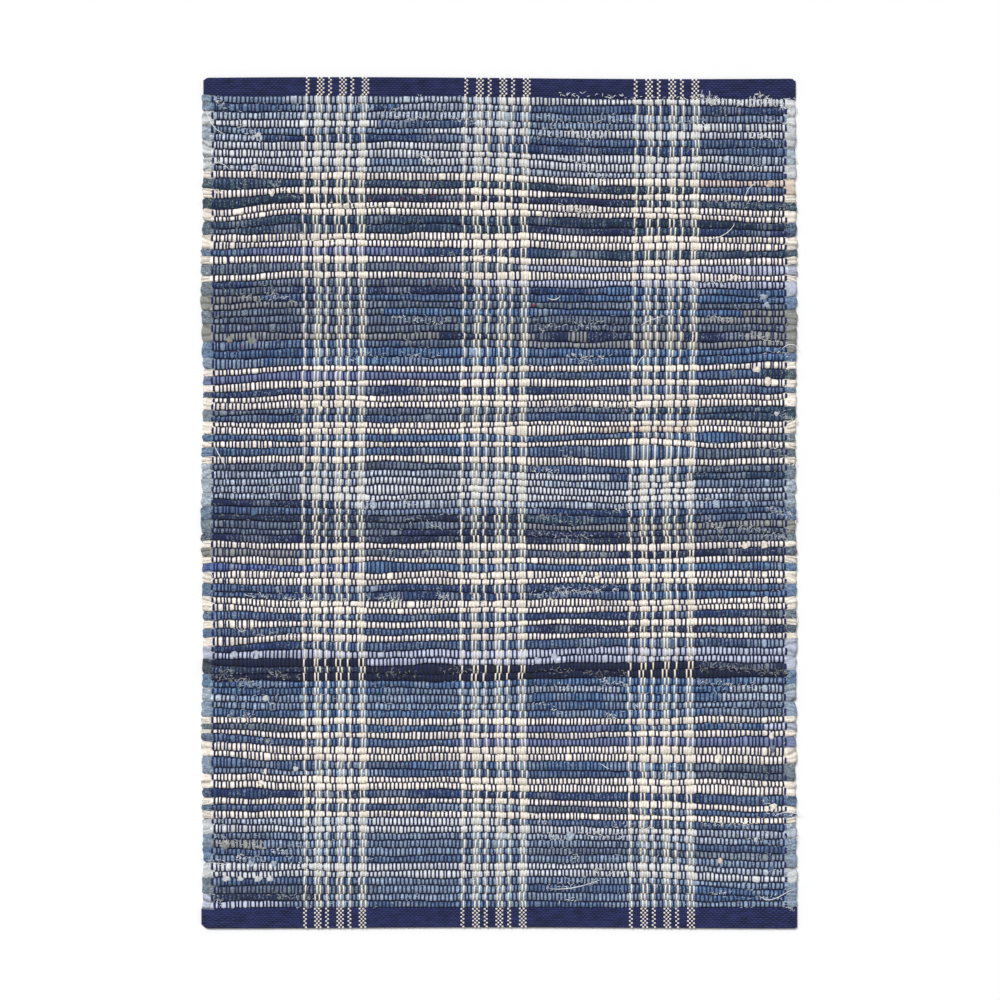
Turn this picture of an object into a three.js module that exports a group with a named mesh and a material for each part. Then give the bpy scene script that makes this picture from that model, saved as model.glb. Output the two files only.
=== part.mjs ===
import * as THREE from "three";

// A handwoven cotton rag rug, lying flat. It is one cloth: thick rag weft ribs, weft turns bunched
// in loops down both selvedges, and a fine heading that is turned under as a hem at each end.
// Millimetres. +X runs across the rug, +Y runs along it and +Z is up from the floor.

// Overall size
const RUG_WIDTH = 600;
const RUG_LENGTH = 858;

// Heading hems, measured along the rug, and the thickness of the turned heading
const FAR_HEM = 18;
const NEAR_HEM = 20.5;
const HEM_THICKNESS = 3.2;
const HEM_RIM = 1.6;
const HEM_SEAM = 2.6;
const HEM_SEAM_WIDTH = 2;

// Each corner of the turned heading: its radius and how far its side stands beyond the nominal side
const CORNERS = {
  farLeft: { radius: 5, flare: -1.5 },
  farRight: { radius: 5, flare: -0.5 },
  nearLeft: { radius: 7, flare: 0.5 },
  nearRight: { radius: 3, flare: 1 },
};
const CORNER_STEPS = 3;

// Rag weft: the picks are beaten down a little closer and looser in a slow wave. Each raises a rib,
// whose crest varies with the rag by the sum of two waves.
const PICKS = 110;
const BEAT_WAVE = { share: 0.07, turn: 0.31 };
const RIB_CREST = 5.4;
const RIB_VALLEY = 3.8;
const RIB_WAVES = [
  { height: 0.21, turn: 2.399 },
  { height: 0.14, turn: 1.133 },
];

// Weft turns: each loop takes two picks round the outermost warp
const PICKS_PER_LOOP = 2;
const LOOP_REACH = 13;
const LOOP_NOTCH = 2.6;
const CREST_NOTCH_SHARE = 0.3;
const LOOP_CREST = 5.1;
const LOOP_VALLEY = 3.3;
const LOOP_RIM = 2.2;
const LOOP_CREST_INSET = 5;
const DRAWN_IN_CREST = 4.4;
const DRAWN_IN_VALLEY = 3.4;
const FIELD_INSET = 21;

// Where the surface is sampled across the field, between the two selvedges
const FIELD_STATIONS = [-190, -90, 0, 95, 195];

// The weft lies off straight in slow waves, towards the far end positive. Each wave has its height, how
// many half waves it makes along the rug, so that it dies away at both headings, its length across the
// rug and where it starts.
const SWAY_WAVES = [
  { height: 2.5, halvesAlong: 3, across: 900, start: 0.15 },
  { height: 1.5, halvesAlong: 8, across: 620, start: 0.4 },
];

// The two turned ends wave off straight: how high and how long the wave is, and where it starts
const END_WAVE = {
  far: { height: 1, across: 700, start: 0.48 },
  near: { height: 0.6, across: 600, start: 0.75 },
};

// Finish
const INDIGO_COTTON = { color: 0x4a6288, roughness: 0.95, metalness: 0 };

const FAR_END = RUG_LENGTH / 2;
const NEAR_END = -RUG_LENGTH / 2;
const FIELD_FAR = FAR_END - FAR_HEM;
const FIELD_LENGTH = RUG_LENGTH - FAR_HEM - NEAR_HEM;

// The height of a slow wave at a place across the rug
function waveAt(wave, across) {
  return wave.height * Math.sin(2 * Math.PI * (across / wave.across + wave.start));
}

function sway(across, along) {
  const share = (FIELD_FAR - along) / FIELD_LENGTH;
  return SWAY_WAVES.reduce((sum, wave) => {
    return sum + waveAt(wave, across) * Math.sin(Math.PI * wave.halvesAlong * share);
  }, 0);
}

// The rows of the turned heading, from its outer end inwards. The seam row ends the heading.
function hemRows(end) {
  const far = end === "far";
  const outward = far ? 1 : -1;
  const endPlace = far ? FAR_END : NEAR_END;
  const depth = far ? FAR_HEM : NEAR_HEM;
  const left = far ? CORNERS.farLeft : CORNERS.nearLeft;
  const right = far ? CORNERS.farRight : CORNERS.nearRight;
  const reach = Math.max(left.radius, right.radius);
  const rows = [];
  for (let step = 0; step <= CORNER_STEPS; step++) {
    const turn = (step / CORNER_STEPS) * (Math.PI / 2);
    const inset = reach * (1 - Math.cos(turn));
    rows.push({
      end,
      along: endPlace - outward * inset,
      left: -RUG_WIDTH / 2 - left.flare + left.radius * (1 - Math.sin(turn)),
      right: RUG_WIDTH / 2 + right.flare - right.radius * (1 - Math.sin(turn)),
      height: step === 0 ? HEM_RIM : HEM_THICKNESS,
    });
  }
  const full = rows[CORNER_STEPS];
  rows.push({ ...full, along: endPlace - outward * (depth - HEM_SEAM_WIDTH) });
  rows.push({ ...full, along: endPlace - outward * depth, height: HEM_SEAM });
  return rows;
}

// The crest height of a pick's rib
function ribHeight(pick) {
  return RIB_WAVES.reduce((sum, wave) => sum + wave.height * Math.sin(wave.turn * pick), RIB_CREST);
}

// The rows of the rag field: each pick has its crest row, and a valley row parts it from the next
function fieldRows() {
  const beats = Array.from({ length: PICKS }, (_, pick) => {
    return 1 + BEAT_WAVE.share * Math.sin(BEAT_WAVE.turn * pick);
  });
  const fit = FIELD_LENGTH / beats.reduce((sum, beat) => sum + beat, 0);
  const rows = [];
  let along = FIELD_FAR;
  for (let pick = 0; pick < PICKS; pick++) {
    const pitch = fit * beats[pick];
    rows.push({ along: along - pitch / 2, crest: true, notch: CREST_NOTCH_SHARE, height: ribHeight(pick) });
    along -= pitch;
    if (pick === PICKS - 1) continue;
    const loopEnds = pick % PICKS_PER_LOOP === PICKS_PER_LOOP - 1;
    rows.push({ along, crest: false, notch: loopEnds ? 1 : 0, height: RIB_VALLEY });
  }
  return rows;
}

// The points of one row across the rug, as [x, y, z], from the left side to the right
function hemPoints(row) {
  const spots = [
    row.left,
    row.left + LOOP_CREST_INSET,
    row.left + LOOP_REACH,
    row.left + FIELD_INSET,
    ...FIELD_STATIONS,
    row.right - FIELD_INSET,
    row.right - LOOP_REACH,
    row.right - LOOP_CREST_INSET,
    row.right,
  ];
  return spots.map((across, index) => {
    const side = index === 0 || index === spots.length - 1;
    const outward = row.end === "far" ? 1 : -1;
    const height = side ? Math.min(row.height, LOOP_RIM) : row.height;
    return [across, row.along + outward * waveAt(END_WAVE[row.end], across), height];
  });
}

function fieldPoints(row) {
  const edge = RUG_WIDTH / 2 - LOOP_NOTCH * row.notch;
  const loop = row.notch === 1 ? LOOP_VALLEY : LOOP_CREST;
  const drawnIn = row.crest ? DRAWN_IN_CREST : DRAWN_IN_VALLEY;
  const side = [
    [edge, LOOP_RIM],
    [RUG_WIDTH / 2 - LOOP_CREST_INSET, loop],
    [RUG_WIDTH / 2 - LOOP_REACH, drawnIn],
    [RUG_WIDTH / 2 - FIELD_INSET, row.height],
  ];
  const left = side.map(([across, height]) => [-across, height]);
  const middle = FIELD_STATIONS.map((across) => [across, row.height]);
  const right = [...side].reverse();
  return [...left, ...middle, ...right].map(([across, height]) => {
    return [across, row.along + sway(across, row.along), height];
  });
}

// The whole cloth as one closed body: the ribbed face, a flat back and upright sides
function woven() {
  const far = hemRows("far");
  const near = hemRows("near").reverse();
  const rows = [...far.map(hemPoints), ...fieldRows().map(fieldPoints), ...near.map(hemPoints)];
  const columns = rows[0].length;
  const last = columns - 1;
  const end = rows.length - 1;
  const lower = rows.length * columns;
  const at = (row, column) => row * columns + column;
  const under = (row, column) => lower + at(row, column);
  const face = rows.flat();
  const back = face.map(([x, y]) => [x, y, 0]);
  const points = [...face, ...back];
  const triangles = [];
  const quad = (a, b, c, d) => triangles.push(a, b, c, a, c, d);

  for (let row = 0; row < end; row++) {
    for (let column = 0; column < last; column++) {
      quad(at(row, column), at(row + 1, column), at(row + 1, column + 1), at(row, column + 1));
    }
    quad(at(row, 0), under(row, 0), under(row + 1, 0), at(row + 1, 0));
    quad(at(row, last), at(row + 1, last), under(row + 1, last), under(row, last));
  }
  for (let column = 0; column < last; column++) {
    quad(at(0, column), at(0, column + 1), under(0, column + 1), under(0, column));
    quad(at(end, column), under(end, column), under(end, column + 1), at(end, column + 1));
  }

  // The back is strips across the field, and a fan under each waving hem
  const farSeam = far.length - 1;
  const nearSeam = rows.length - near.length;
  for (let row = farSeam; row < nearSeam; row++) {
    quad(under(row, 0), under(row, last), under(row + 1, last), under(row + 1, 0));
  }
  const hems = [
    { outer: 0, seam: farSeam, inward: 1, middle: FAR_END - FAR_HEM / 2 },
    { outer: end, seam: nearSeam, inward: -1, middle: NEAR_END + NEAR_HEM / 2 },
  ];
  for (const hem of hems) {
    const outerEdge = rows[hem.outer].map((_, column) => under(hem.outer, column));
    const steps = Math.abs(hem.seam - hem.outer);
    const inwards = Array.from({ length: steps }, (_, step) => hem.outer + hem.inward * (step + 1));
    const rightSide = inwards.map((row) => under(row, last));
    const leftSide = inwards.map((row) => under(row, 0)).reverse();
    const rim = [...outerEdge, ...rightSide, ...leftSide];
    if (hem.inward < 0) rim.reverse();
    points.push([0, hem.middle, 0]);
    const hub = points.length - 1;
    rim.forEach((corner, index) => triangles.push(hub, corner, rim[(index + 1) % rim.length]));
  }

  const geometry = new THREE.BufferGeometry();
  geometry.setAttribute("position", new THREE.Float32BufferAttribute(points.flat(), 3));
  geometry.setIndex(triangles);
  geometry.computeVertexNormals();
  return geometry;
}

const rug = new THREE.Mesh(woven(), new THREE.MeshStandardMaterial(INDIGO_COTTON));
rug.name = "rug";

const model = new THREE.Group();
model.name = "handwoven_rug";
model.add(rug);

export default model;
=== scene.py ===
import itertools
import math

import bpy
import numpy as np
from bpy.props import FloatProperty, FloatVectorProperty, IntProperty, PointerProperty
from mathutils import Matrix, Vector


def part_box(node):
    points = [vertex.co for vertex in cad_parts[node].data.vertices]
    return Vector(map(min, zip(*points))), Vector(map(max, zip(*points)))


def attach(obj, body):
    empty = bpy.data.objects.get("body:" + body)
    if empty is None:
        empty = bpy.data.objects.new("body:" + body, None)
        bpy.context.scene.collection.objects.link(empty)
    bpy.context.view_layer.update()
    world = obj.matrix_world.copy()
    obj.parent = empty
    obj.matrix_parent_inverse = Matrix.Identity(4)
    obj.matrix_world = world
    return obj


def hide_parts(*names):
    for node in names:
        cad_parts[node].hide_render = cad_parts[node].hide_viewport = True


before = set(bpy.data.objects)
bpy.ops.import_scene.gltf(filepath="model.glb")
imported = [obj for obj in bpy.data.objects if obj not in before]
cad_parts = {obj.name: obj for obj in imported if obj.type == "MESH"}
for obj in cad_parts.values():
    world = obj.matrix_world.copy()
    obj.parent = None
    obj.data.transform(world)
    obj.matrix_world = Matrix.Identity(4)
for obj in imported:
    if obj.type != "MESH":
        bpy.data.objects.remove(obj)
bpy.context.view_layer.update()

bl_info = {
    "name": "Handwoven rag rug",
    "version": (1, 0, 0),
    "blender": (4, 5, 0),
    "location": "3D View > Sidebar > Rag rug",
    "description": "A flat rag rug: thick wefts of torn cotton under a fine navy and ecru warp",
    "category": "Add Mesh",
}

# The frame's box is in metres. Everything below is worked out in millimetres, and put into metres
# when a mesh is made. +X runs across the rug, +Y along it to the far end and +Z up from the floor.
MM = 0.001
RUG_LOW, RUG_HIGH = (np.array(corner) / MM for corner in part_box("rug"))

# The box reaches as far as the hems wave and flare, this much more than the cloth's nominal size
WAVE_ROOM = 1.5
RUG_WIDTH = RUG_HIGH[0] - RUG_LOW[0] - WAVE_ROOM
RUG_LENGTH = RUG_HIGH[1] - RUG_LOW[1] - WAVE_ROOM

# The warp: how the ends are threaded, from the left selvedge, where the outermost ends lie, and the
# left and right edges of the three plaid stripes
THREADING = (
    ("navy", 46), ("plaid", 34), ("navy", 46), ("plaid", 34), ("navy", 52), ("plaid", 34), ("navy", 44),
)
PLAID = (
    ("ecru", 2), ("navy", 4), ("ecru", 4), ("navy", 2), ("ecru", 2), ("navy", 4),
    ("ecru", 4), ("navy", 2), ("ecru", 2), ("navy", 4), ("ecru", 4),
)
ENDS = sum(count for _, count in THREADING)
SELVEDGE_END = 290
PLAID_EDGES = ((-195, -131), (-35, 32), (136, 202))
PLAID_MIDDLES = [(left + right) / 2 for left, right in PLAID_EDGES]

# Wide dents, where the reed left the ends apart: the place across and the extra width
WIDE_DENTS = ((-268, 1.5), (-257, 1.1), (-246, 0.7), (251, 1), (269, 2.2))
DENT_REACH = 9

# Near the selvedges the ends draw together in twos and threes. Each selvedge has this much of the width.
BUNCHED_WIDTH = 90
BUNCHED_SHIFT = 1.0

# How far the three plaid stripes wander across, at places along the rug
PLAID_WANDER = (
    (429, 0, 0, 0), (380, -3, -1, 1), (300, -5, -3, 0), (200, -3, -2, -2), (100, -4, -4, -3),
    (0, -5, -5, -6), (-100, -5, -5, -5), (-200, -3, -5, -7), (-300, -2, -3, -6), (-429, -3, -4, -5),
)

# The stripes from the far heading, in bands. Each band has its depth and its picks, and each pick its
# rags from left to right, with the place across where one rag gives way to the next.
BANDS = (
    (85, (
        ("faded", -215, "sky", 0, "mist"),
        ("denim", -210, "faded", -130, "indigo", -98, "sky", 5, "denim", 130, "indigo"),
        ("sky", 10, "faded"),
        ("mist", -128, "denim", -20, "sky", 25, "faded", 195, "mist"),
        ("faded", -62, "mist", 20, "sky", 60, "mist"),
        ("sky", -240, "indigo", -55, "denim"),
        ("mist", -10, "denim", 30, "indigo", 200, "denim"),
        ("mist", 230, "sky"),
        ("mist", -128, "faded", -84, "mist"),
        ("sky", 195, "denim"),
        ("cream", 205, "sand"),
    )),
    (36, (
        ("teal", 30, "forest", 205, "denim"),
        ("cream",),
        ("forest", -130, "midnight", 135, "teal"),
        ("cream",),
        ("cream",),
    )),
    (41, (
        ("teal", 35, "forest"),
        ("teal", 30, "midnight", 140, "teal", 200, "indigo"),
        ("cream",),
        ("cream",),
        ("denim", -258, "periwinkle", -78, "indigo", 32, "teal"),
    )),
    (30, (
        ("cream",),
        ("slate", 25, "lavender"),
        ("cream",),
        ("indigo", -248, "slate", -26, "lavender"),
    )),
    (80, (
        ("slate", -205, "indigo", -128, "midnight", 30, "indigo", 100, "azure"),
        ("stone", -240, "denim", 30, "azure"),
        ("stone", -200, "slate"),
        ("slate", -122, "azure", 250, "stone"),
        ("slate", 200, "stone"),
        ("slate",),
        ("stone", -62, "midnight", -5, "stone", 38, "midnight", 65, "stone", 80, "midnight",
         130, "stone", 185, "midnight", 246, "stone"),
        ("denim", -100, "slate", 30, "stone"),
        ("azure",),
        ("faded", -236, "azure"),
    )),
    (43, (
        ("cream",),
        ("periwinkle", 10, "denim", 262, "forest"),
        ("cream",),
        ("indigo", 60, "denim"),
        ("cream",),
        ("cream",),
    )),
    (34, (
        ("slate", 130, "teal"),
        ("denim", -105, "slate", 30, "denim", 200, "teal"),
        ("cream",),
        ("cream", 100, "sand", 192, "cream"),
        ("azure", 245, "slate"),
    )),
    (29, (
        ("cream",),
        ("azure", -130, "denim", 197, "slate"),
        ("cream",),
        ("slate", 30, "denim", 200, "slate"),
    )),
    (74, (
        ("sky", 10, "mist", 118, "indigo", 126, "mist", 172, "teal"),
        ("sky", -130, "mist", 40, "sky", 130, "mist", 200, "faded"),
        ("sky", -200, "mist", 235, "sky"),
        ("sky", -205, "mist", 200, "sky"),
        ("midnight", -155, "sky", 200, "faded"),
        ("denim", -128, "faded", -10, "denim", 40, "indigo", 140, "denim"),
        ("charcoal", 32, "teal", 200, "denim"),
        ("slate", 30, "stone"),
        ("slate", -128, "midnight", 205, "slate"),
        ("midnight", -130, "charcoal", 200, "slate"),
    )),
    (42, (
        ("cream",),
        ("stone", -200, "slate", 118, "midnight"),
        ("cream",),
        ("cobalt", -140, "azure"),
        ("cream",),
        ("cream",),
    )),
    (29, (
        ("denim", -130, "indigo", 198, "denim"),
        ("denim", -130, "indigo", 30, "denim", 130, "azure"),
        ("cream",),
        ("cream",),
    )),
    (28, (
        ("denim", 30, "indigo", 250, "slate"),
        ("cream",),
        ("denim", 30, "midnight", 195, "denim", 262, "midnight"),
        ("cream",),
    )),
    (25, (
        ("indigo", -180, "denim", 250, "faded"),
        ("lavender",),
        ("black", -133, "lavender"),
    )),
    (15, (
        ("charcoal", -130, "black", 200, "charcoal"),
        ("black",),
    )),
    (37, (
        ("azure",),
        ("azure", -90, "faded", 30, "sky", 130, "azure", 230, "sky"),
        ("sky", -270, "faded", 30, "azure", 225, "sky"),
        ("faded", 40, "azure", 125, "faded"),
        ("azure", 200, "faded"),
    )),
    (44, (
        ("cream",),
        ("slate", -200, "faded", -180, "azure", 0, "periwinkle", 105, "azure", 268, "lavender"),
        ("cream",),
        ("denim", -45, "periwinkle"),
        ("cream",),
        ("cream",),
    )),
    (29, (
        ("denim", -90, "azure", 195, "slate"),
        ("faded", -118, "denim", 150, "faded", 200, "slate"),
        ("cream",),
        ("cream",),
    )),
    (28, (
        ("indigo", 205, "denim"),
        ("cream",),
        ("denim", -75, "faded", 30, "slate", 140, "denim"),
        ("cream",),
    )),
    (91, (
        ("sky", -130, "mist", 5, "denim"),
        ("mist", 200, "sky"),
        ("faded", 10, "sky", 240, "faded"),
        ("stone", -240, "faded", 195, "denim"),
        ("denim", -225, "faded", 30, "slate"),
        ("azure", -215, "denim", 30, "faded"),
        ("mist", 200, "sky"),
        ("mist",),
        ("denim", -128, "faded"),
        ("slate", -128, "faded", 30, "denim", 200, "azure"),
        ("charcoal", -185, "faded", 195, "azure"),
        ("lavender", -225, "faded", -130, "denim", 120, "faded"),
    )),
)
PICKS = [pick for _, picks in BANDS for pick in picks]

# How deep a rag of another cloth beats down beside a denim one, and how unevenly any pick does
RAG_BULK = {"cream": 0.9, "periwinkle": 1.25}
BEAT_UNEVEN = 0.06

# How far the picks sag towards the near end, for places along the rug: at the left selvedge, right of
# the middle and at the right selvedge. Left of the middle they are the straight ones.
SAG_ACROSS = (-285, -200, -50, 130, 285)
SAG = (
    (411, 0, 3, 3), (330, -1, 7, 8), (300, 8, 4, 8), (267, 2, 3, 4), (246, 0, 4, 2), (232, 4, 2, 4),
    (170, 0, 0, 0), (136, 4, 0, -3), (120, 5, -1, -1), (103, 3, 0, -2), (74, -1, -2, -2), (58, 0, -2, 1),
    (44, 1, 4, 2), (-44, -2, 1, -3), (-77, 0, -1, -1), (-106, -3, -1, -4), (-137, 4, -3, -2),
    (-165, 0, -4, -4), (-221, -1, 0, -2), (-238, -6, -1, -2), (-255, -4, 1, 3), (-284, -2, 2, 5),
    (-300, 0, 3, 7), (-378, 0, -1, 5), (-409, 1, 0, 0),
)

# Where a rag is thicker than elsewhere along its pick: the pick, the place across, the reach and the extra
SWELLS = (
    (31, 52, 14, 2), (31, 103, 28, 2.5), (31, 210, 36, 2.5), (35, 275, 16, 3), (37, 275, 18, 2),
    (38, -105, 25, 2), (44, 45, 40, 3.5), (45, 225, 22, 3.5), (47, 148, 25, 3), (52, -112, 28, 3.5),
    (56, 70, 35, 3), (63, -118, 22, 5), (67, -90, 35, 2), (71, -255, 20, 2), (72, 60, 30, 2),
    (73, -278, 20, 3.5), (77, -62, 20, 3), (82, 78, 35, 2.5), (93, 240, 50, 3.5), (94, -247, 14, 5),
)

# The picks beside a thick rag make room for it, and so many picks away about a third of that is left
SWELL_FADE = 2.2

# The turned headings: how deep each is, its corner radius and flare at the left and the right, how many
# fine picks show, the wave of its end as its height, its length across and where it starts, and by how
# much its colour is scaled beside the other heading's
HEADINGS = {
    "far": {"depth": 18, "left": (5, -1.5), "right": (5, -0.5), "picks": 9, "wave": (1, 700, 0.48),
            "light": 0.92},
    "near": {"depth": 20.5, "left": (7, 0.5), "right": (3, 1), "picks": 10, "wave": (0.6, 600, 0.75),
             "light": 1.0},
}

# Each selvedge waves in and out: the height of its wave, its length along the rug and where it starts
SELVEDGE_WAVES = {"left": (1, 230, 0.3), "right": (0.6, 310, 0.6)}

# Where torn edges have frayed: the left and right ends of the run across, its place along at each of
# them, how many threads lie there and how bright they are, from 0, the rag's own colour, to 1, white
FRAYED_EDGES = (
    (-287, -277, 410, 398, 26, 0.7), (-258, -238, 379, 366, 40, 0.8), (-288, -272, 345, 337, 10, 0.9),
    (-259, -249, 326, 320, 12, 0.5), (-238, -214, 324, 320, 26, 0.5), (-215, -206, 315, 311, 8, 0.8),
    (-290, -282, 322, 310, 14, 0.5), (-130, -124, 4, -8, 10, 0.8), (-97, -85, 4, -2, 12, 0.95),
    (-92, -70, -15, -17, 16, 0.6), (-69, -58, -24, -26, 10, 0.7), (-77, -61, -48, -51, 14, 0.6),
    (-130, -100, -94, -99, 50, 0.95), (-62, -48, -94, -99, 26, 0.95), (-76, -65, -101, -106, 12, 0.9),
    (-30, -14, -92, -102, 22, 0.8), (38, 60, 176, 178, 20, 0.7), (60, 106, 181, 179, 40, 0.75),
    (70, 94, 149, 143, 46, 1.0), (98, 106, 148, 146, 8, 0.9), (31, 130, 95, 98, 60, 0.6),
    (130, 146, 97, 94, 16, 0.7), (66, 78, 50, 46, 10, 0.8), (31, 62, 34, 31, 34, 0.85),
    (31, 120, -92, -86, 110, 0.95), (31, 60, -95, -97, 20, 0.8), (60, 100, -85, -92, 30, 0.8),
    (34, 80, -14, -18, 46, 0.5), (31, 90, -30, -34, 50, 0.55), (116, 134, -6, -8, 20, 1.0),
    (102, 128, -179, -182, 30, 0.85), (57, 72, -184, -186, 14, 0.8), (40, 62, -201, -210, 22, 0.9),
    (108, 118, -212, -216, 14, 0.95), (118, 144, -214, -206, 16, 0.8), (34, 44, -312, -322, 16, 0.9),
    (114, 164, -326, -328, 30, 0.9), (46, 62, -333, -339, 26, 0.7), (78, 128, -333, -336, 46, 0.9),
    (71, 82, -353, -358, 12, 0.7), (92, 124, -368, -373, 30, 0.8), (51, 102, -388, -380, 26, 0.85),
    (61, 80, -398, -400, 16, 0.9), (-255, -246, -211, -218, 22, 0.95), (-278, -256, -215, -218, 24, 0.9),
    (-238, -226, -194, -200, 14, 0.6), (-237, -228, -238, -242, 16, 0.5), (-284, -236, -341, -349, 60, 0.6),
    (-232, -214, -348, -354, 24, 0.9), (-268, -238, -356, -360, 34, 0.9), (-296, -278, -358, -364, 26, 0.8),
    (-212, -190, -345, -350, 20, 0.7), (-212, -180, -362, -368, 28, 0.8), (-236, -168, -396, -398, 40, 0.5),
    (-290, -276, -396, -406, 20, 0.6), (-280, -240, -168, -186, 60, 0.45), (-226, -198, -174, -177, 20, 0.55),
    (-252, -200, -93, -97, 50, 0.95), (-268, -200, -128, -134, 50, 0.7), (-236, -205, 210, 204, 40, 0.7),
    (-262, -236, 210, 204, 24, 0.6), (204, 258, -322, -326, 70, 0.8), (270, 309, -310, -314, 26, 0.7),
    (260, 266, -338, -343, 10, 0.95), (290, 308, -330, -342, 24, 0.8), (217, 232, -392, -394, 16, 0.95),
    (258, 282, -400, -396, 18, 0.8), (286, 296, -402, -410, 22, 0.7), (268, 274, -298, -306, 18, 0.7),
    (205, 214, 384, 379, 14, 0.7), (203, 218, 412, 402, 60, 0.8), (215, 262, 408, 400, 60, 0.7),
    (258, 300, 411, 396, 130, 0.8),
    (253, 276, 373, 368, 46, 0.95), (268, 298, 386, 380, 20, 0.8), (284, 300, 361, 346, 22, 0.7),
    (193, 300, 304, 298, 110, 0.45), (203, 246, 222, 226, 46, 0.65), (210, 234, 188, 184, 40, 0.55),
    (248, 282, 170, 163, 50, 0.65), (268, 300, 155, 146, 30, 0.75), (278, 306, 92, 80, 40, 0.65),
    (258, 280, 57, 54, 18, 0.7), (284, 302, 48, 42, 22, 0.6), (206, 224, 4, -4, 22, 0.85),
    (272, 304, -6, -16, 60, 0.8), (208, 224, -14, -28, 40, 0.6), (242, 292, -24, -36, 80, 0.55),
    (202, 292, -160, -172, 90, 0.3), (202, 262, -180, -187, 60, 0.8), (284, 306, -110, -118, 26, 0.5),
    (60, 200, 411, 408, 60, 0.7), (-150, -100, 402, 396, 36, 0.6), (-125, -60, 389, 386, 60, 0.75),
    (-60, 0, 389, 381, 46, 0.75), (35, 130, 386, 385, 50, 0.75), (40, 110, 380, 373, 40, 0.7),
    (35, 125, 371, 370, 50, 0.8), (136, 200, 386, 384, 30, 0.7), (-84, -62, 352, 344, 44, 0.9),
    (90, 110, 334, 330, 22, 0.9), (-200, -135, -96, -102, 36, 0.85), (-290, -250, -174, -184, 70, 0.35),
    (-232, -208, -171, -175, 30, 0.35), (-130, -78, -170, -173, 50, 0.3), (-60, -15, -168, -171, 40, 0.35),
    (30, 130, -168, -172, 70, 0.3), (200, 290, -167, -171, 60, 0.3), (-120, -50, 187, 182, 44, 0.8),
    (-180, -60, 146, 149, 60, 0.85), (-200, -140, 192, 192, 24, 0.6), (136, 180, 180, 190, 20, 0.5),
    (-170, -110, 300, 296, 50, 0.4), (-60, 20, 252, 250, 40, 0.45), (60, 100, 345, 340, 34, 0.7),
    (60, 104, 300, 292, 60, 0.55), (-200, -150, 268, 264, 34, 0.5),
)

# Long loose threads, as the places across and along that each passes
LOOSE_THREADS = (
    ((206, 268), (222, 268), (234, 276), (237, 283)),
    ((248, 307), (252, 317), (261, 324)),
    ((143, 179), (152, 184), (165, 188)),
    ((148, 150), (142, 144), (139, 137)),
    ((51, -389), (75, -388), (102, -380)),
    ((262, -396), (275, -400), (288, -394), (298, -390)),
    ((-288, 343), (-279, 342), (-272, 336)),
    ((285, 155), (294, 160), (303, 156)),
    ((278, -316), (290, -312), (306, -315)),
    ((-288, 60), (-282, 48), (-276, 38)),
    ((103, -263), (107, -266), (111, -268)),
    ((49, 207), (56, 205), (62, 209)),
    ((-296, 398), (-288, 380), (-276, 372)),
)

# Stray fibres of a red rag: the place across and along, and the length
STRAY_FIBRES = (
    (-96, 307, 2.5), (-68, 310, 2), (-63, 311, 2), (-272, 162, 2), (-259, 159, 3), (-255, 159.5, 2.5),
    (-266, 153, 2), (-130, 305.5, 2), (-70, 223, 2), (35, 197.5, 3.5), (35.5, 199, 2.5),
)

# Lumps where a rag's end or a fold stands through the warp: the place across and along, the width and
# the length along, how far it is turned in degrees, and the rag
LUMPS = (
    (-249, 164, 9, 10, 10, "stone"), (-272, 165, 7, 8, 0, "stone"), (-229, 313, 5, 9, -15, "cream"),
    (-247, 338, 6, 9, -30, "mist"), (-243, 371, 7, 5, 20, "mist"), (-127, -2, 6, 11, 0, "sky"),
    (-247, -9, 9, 8, 0, "denim"), (-267, -153, 8, 7, 0, "lavender"), (-245, -153, 9, 9, 15, "lavender"),
    (56, -155, 7, 12, 0, "lavender"), (38, -159, 6, 7, 0, "lavender"), (99, -74, 6, 8, 0, "cream"),
    (84, -74, 5, 6, 0, "cream"), (248, -43, 8, 7, 0, "cream"), (268, -42, 9, 8, 0, "cream"),
    (269, -98, 7, 8, 0, "cream"), (260, 135, 9, 8, -40, "cream"), (271, 123, 8, 9, 0, "cream"),
    (274, 322, 10, 7, 10, "sand"), (236, 131, 5, 8, 0, "slate"), (267, 208, 8, 7, 0, "sky"),
    (270, 200, 6, 7, 0, "sky"), (72, -336, 9, 11, 0, "sky"), (-275, -379, 9, 7, 0, "mist"),
    (-261, -379, 7, 6, 0, "mist"), (-243, -379, 9, 7, 15, "mist"), (-231, -379, 7, 7, 0, "mist"),
    (-240, -283, 8, 7, 25, "cream"), (-236, -197, 8, 6, 0, "mist"), (-233, -240, 6, 5, 10, "stone"),
    (-277, -345, 10, 9, 0, "stone"), (-250, -364, 6, 8, 0, "sky"), (-227, -364, 6, 8, 0, "sky"),
    (222, -258, 7, 10, 0, "cream"), (275, -235, 5, 8, 0, "cream"), (276, -248, 7, 8, 0, "slate"),
    (277, -306, 8, 6, 10, "cream"), (275, -369, 6, 7, 0, "denim"), (223, -361, 5, 7, -10, "sand"),
    (259, -340, 4, 6, 0, "mist"), (-236, -271, 5, 6, 0, "cream"), (280, 90, 5, 5, 20, "mist"),
    (-117, 253, 6, 6, 0, "faded"), (-30, 366, 6, 7, 0, "sky"), (96, 318, 7, 6, 20, "faded"),
    (-205, -268, 6, 6, -10, "mist"), (10, -196, 5, 7, 0, "faded"), (-180, 95, 5, 6, 0, "cream"),
)

# The share of the navy floats that a thick rag hides
HIDDEN_SHARE = 0.008

# Heights of the cloth's layers
WEFT_CREST = 4.85
WEFT_DENT = 3.75
WEFT_EDGE = 2.2
WARP_CREST = 5.05
WARP_DIP = 2.55
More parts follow.
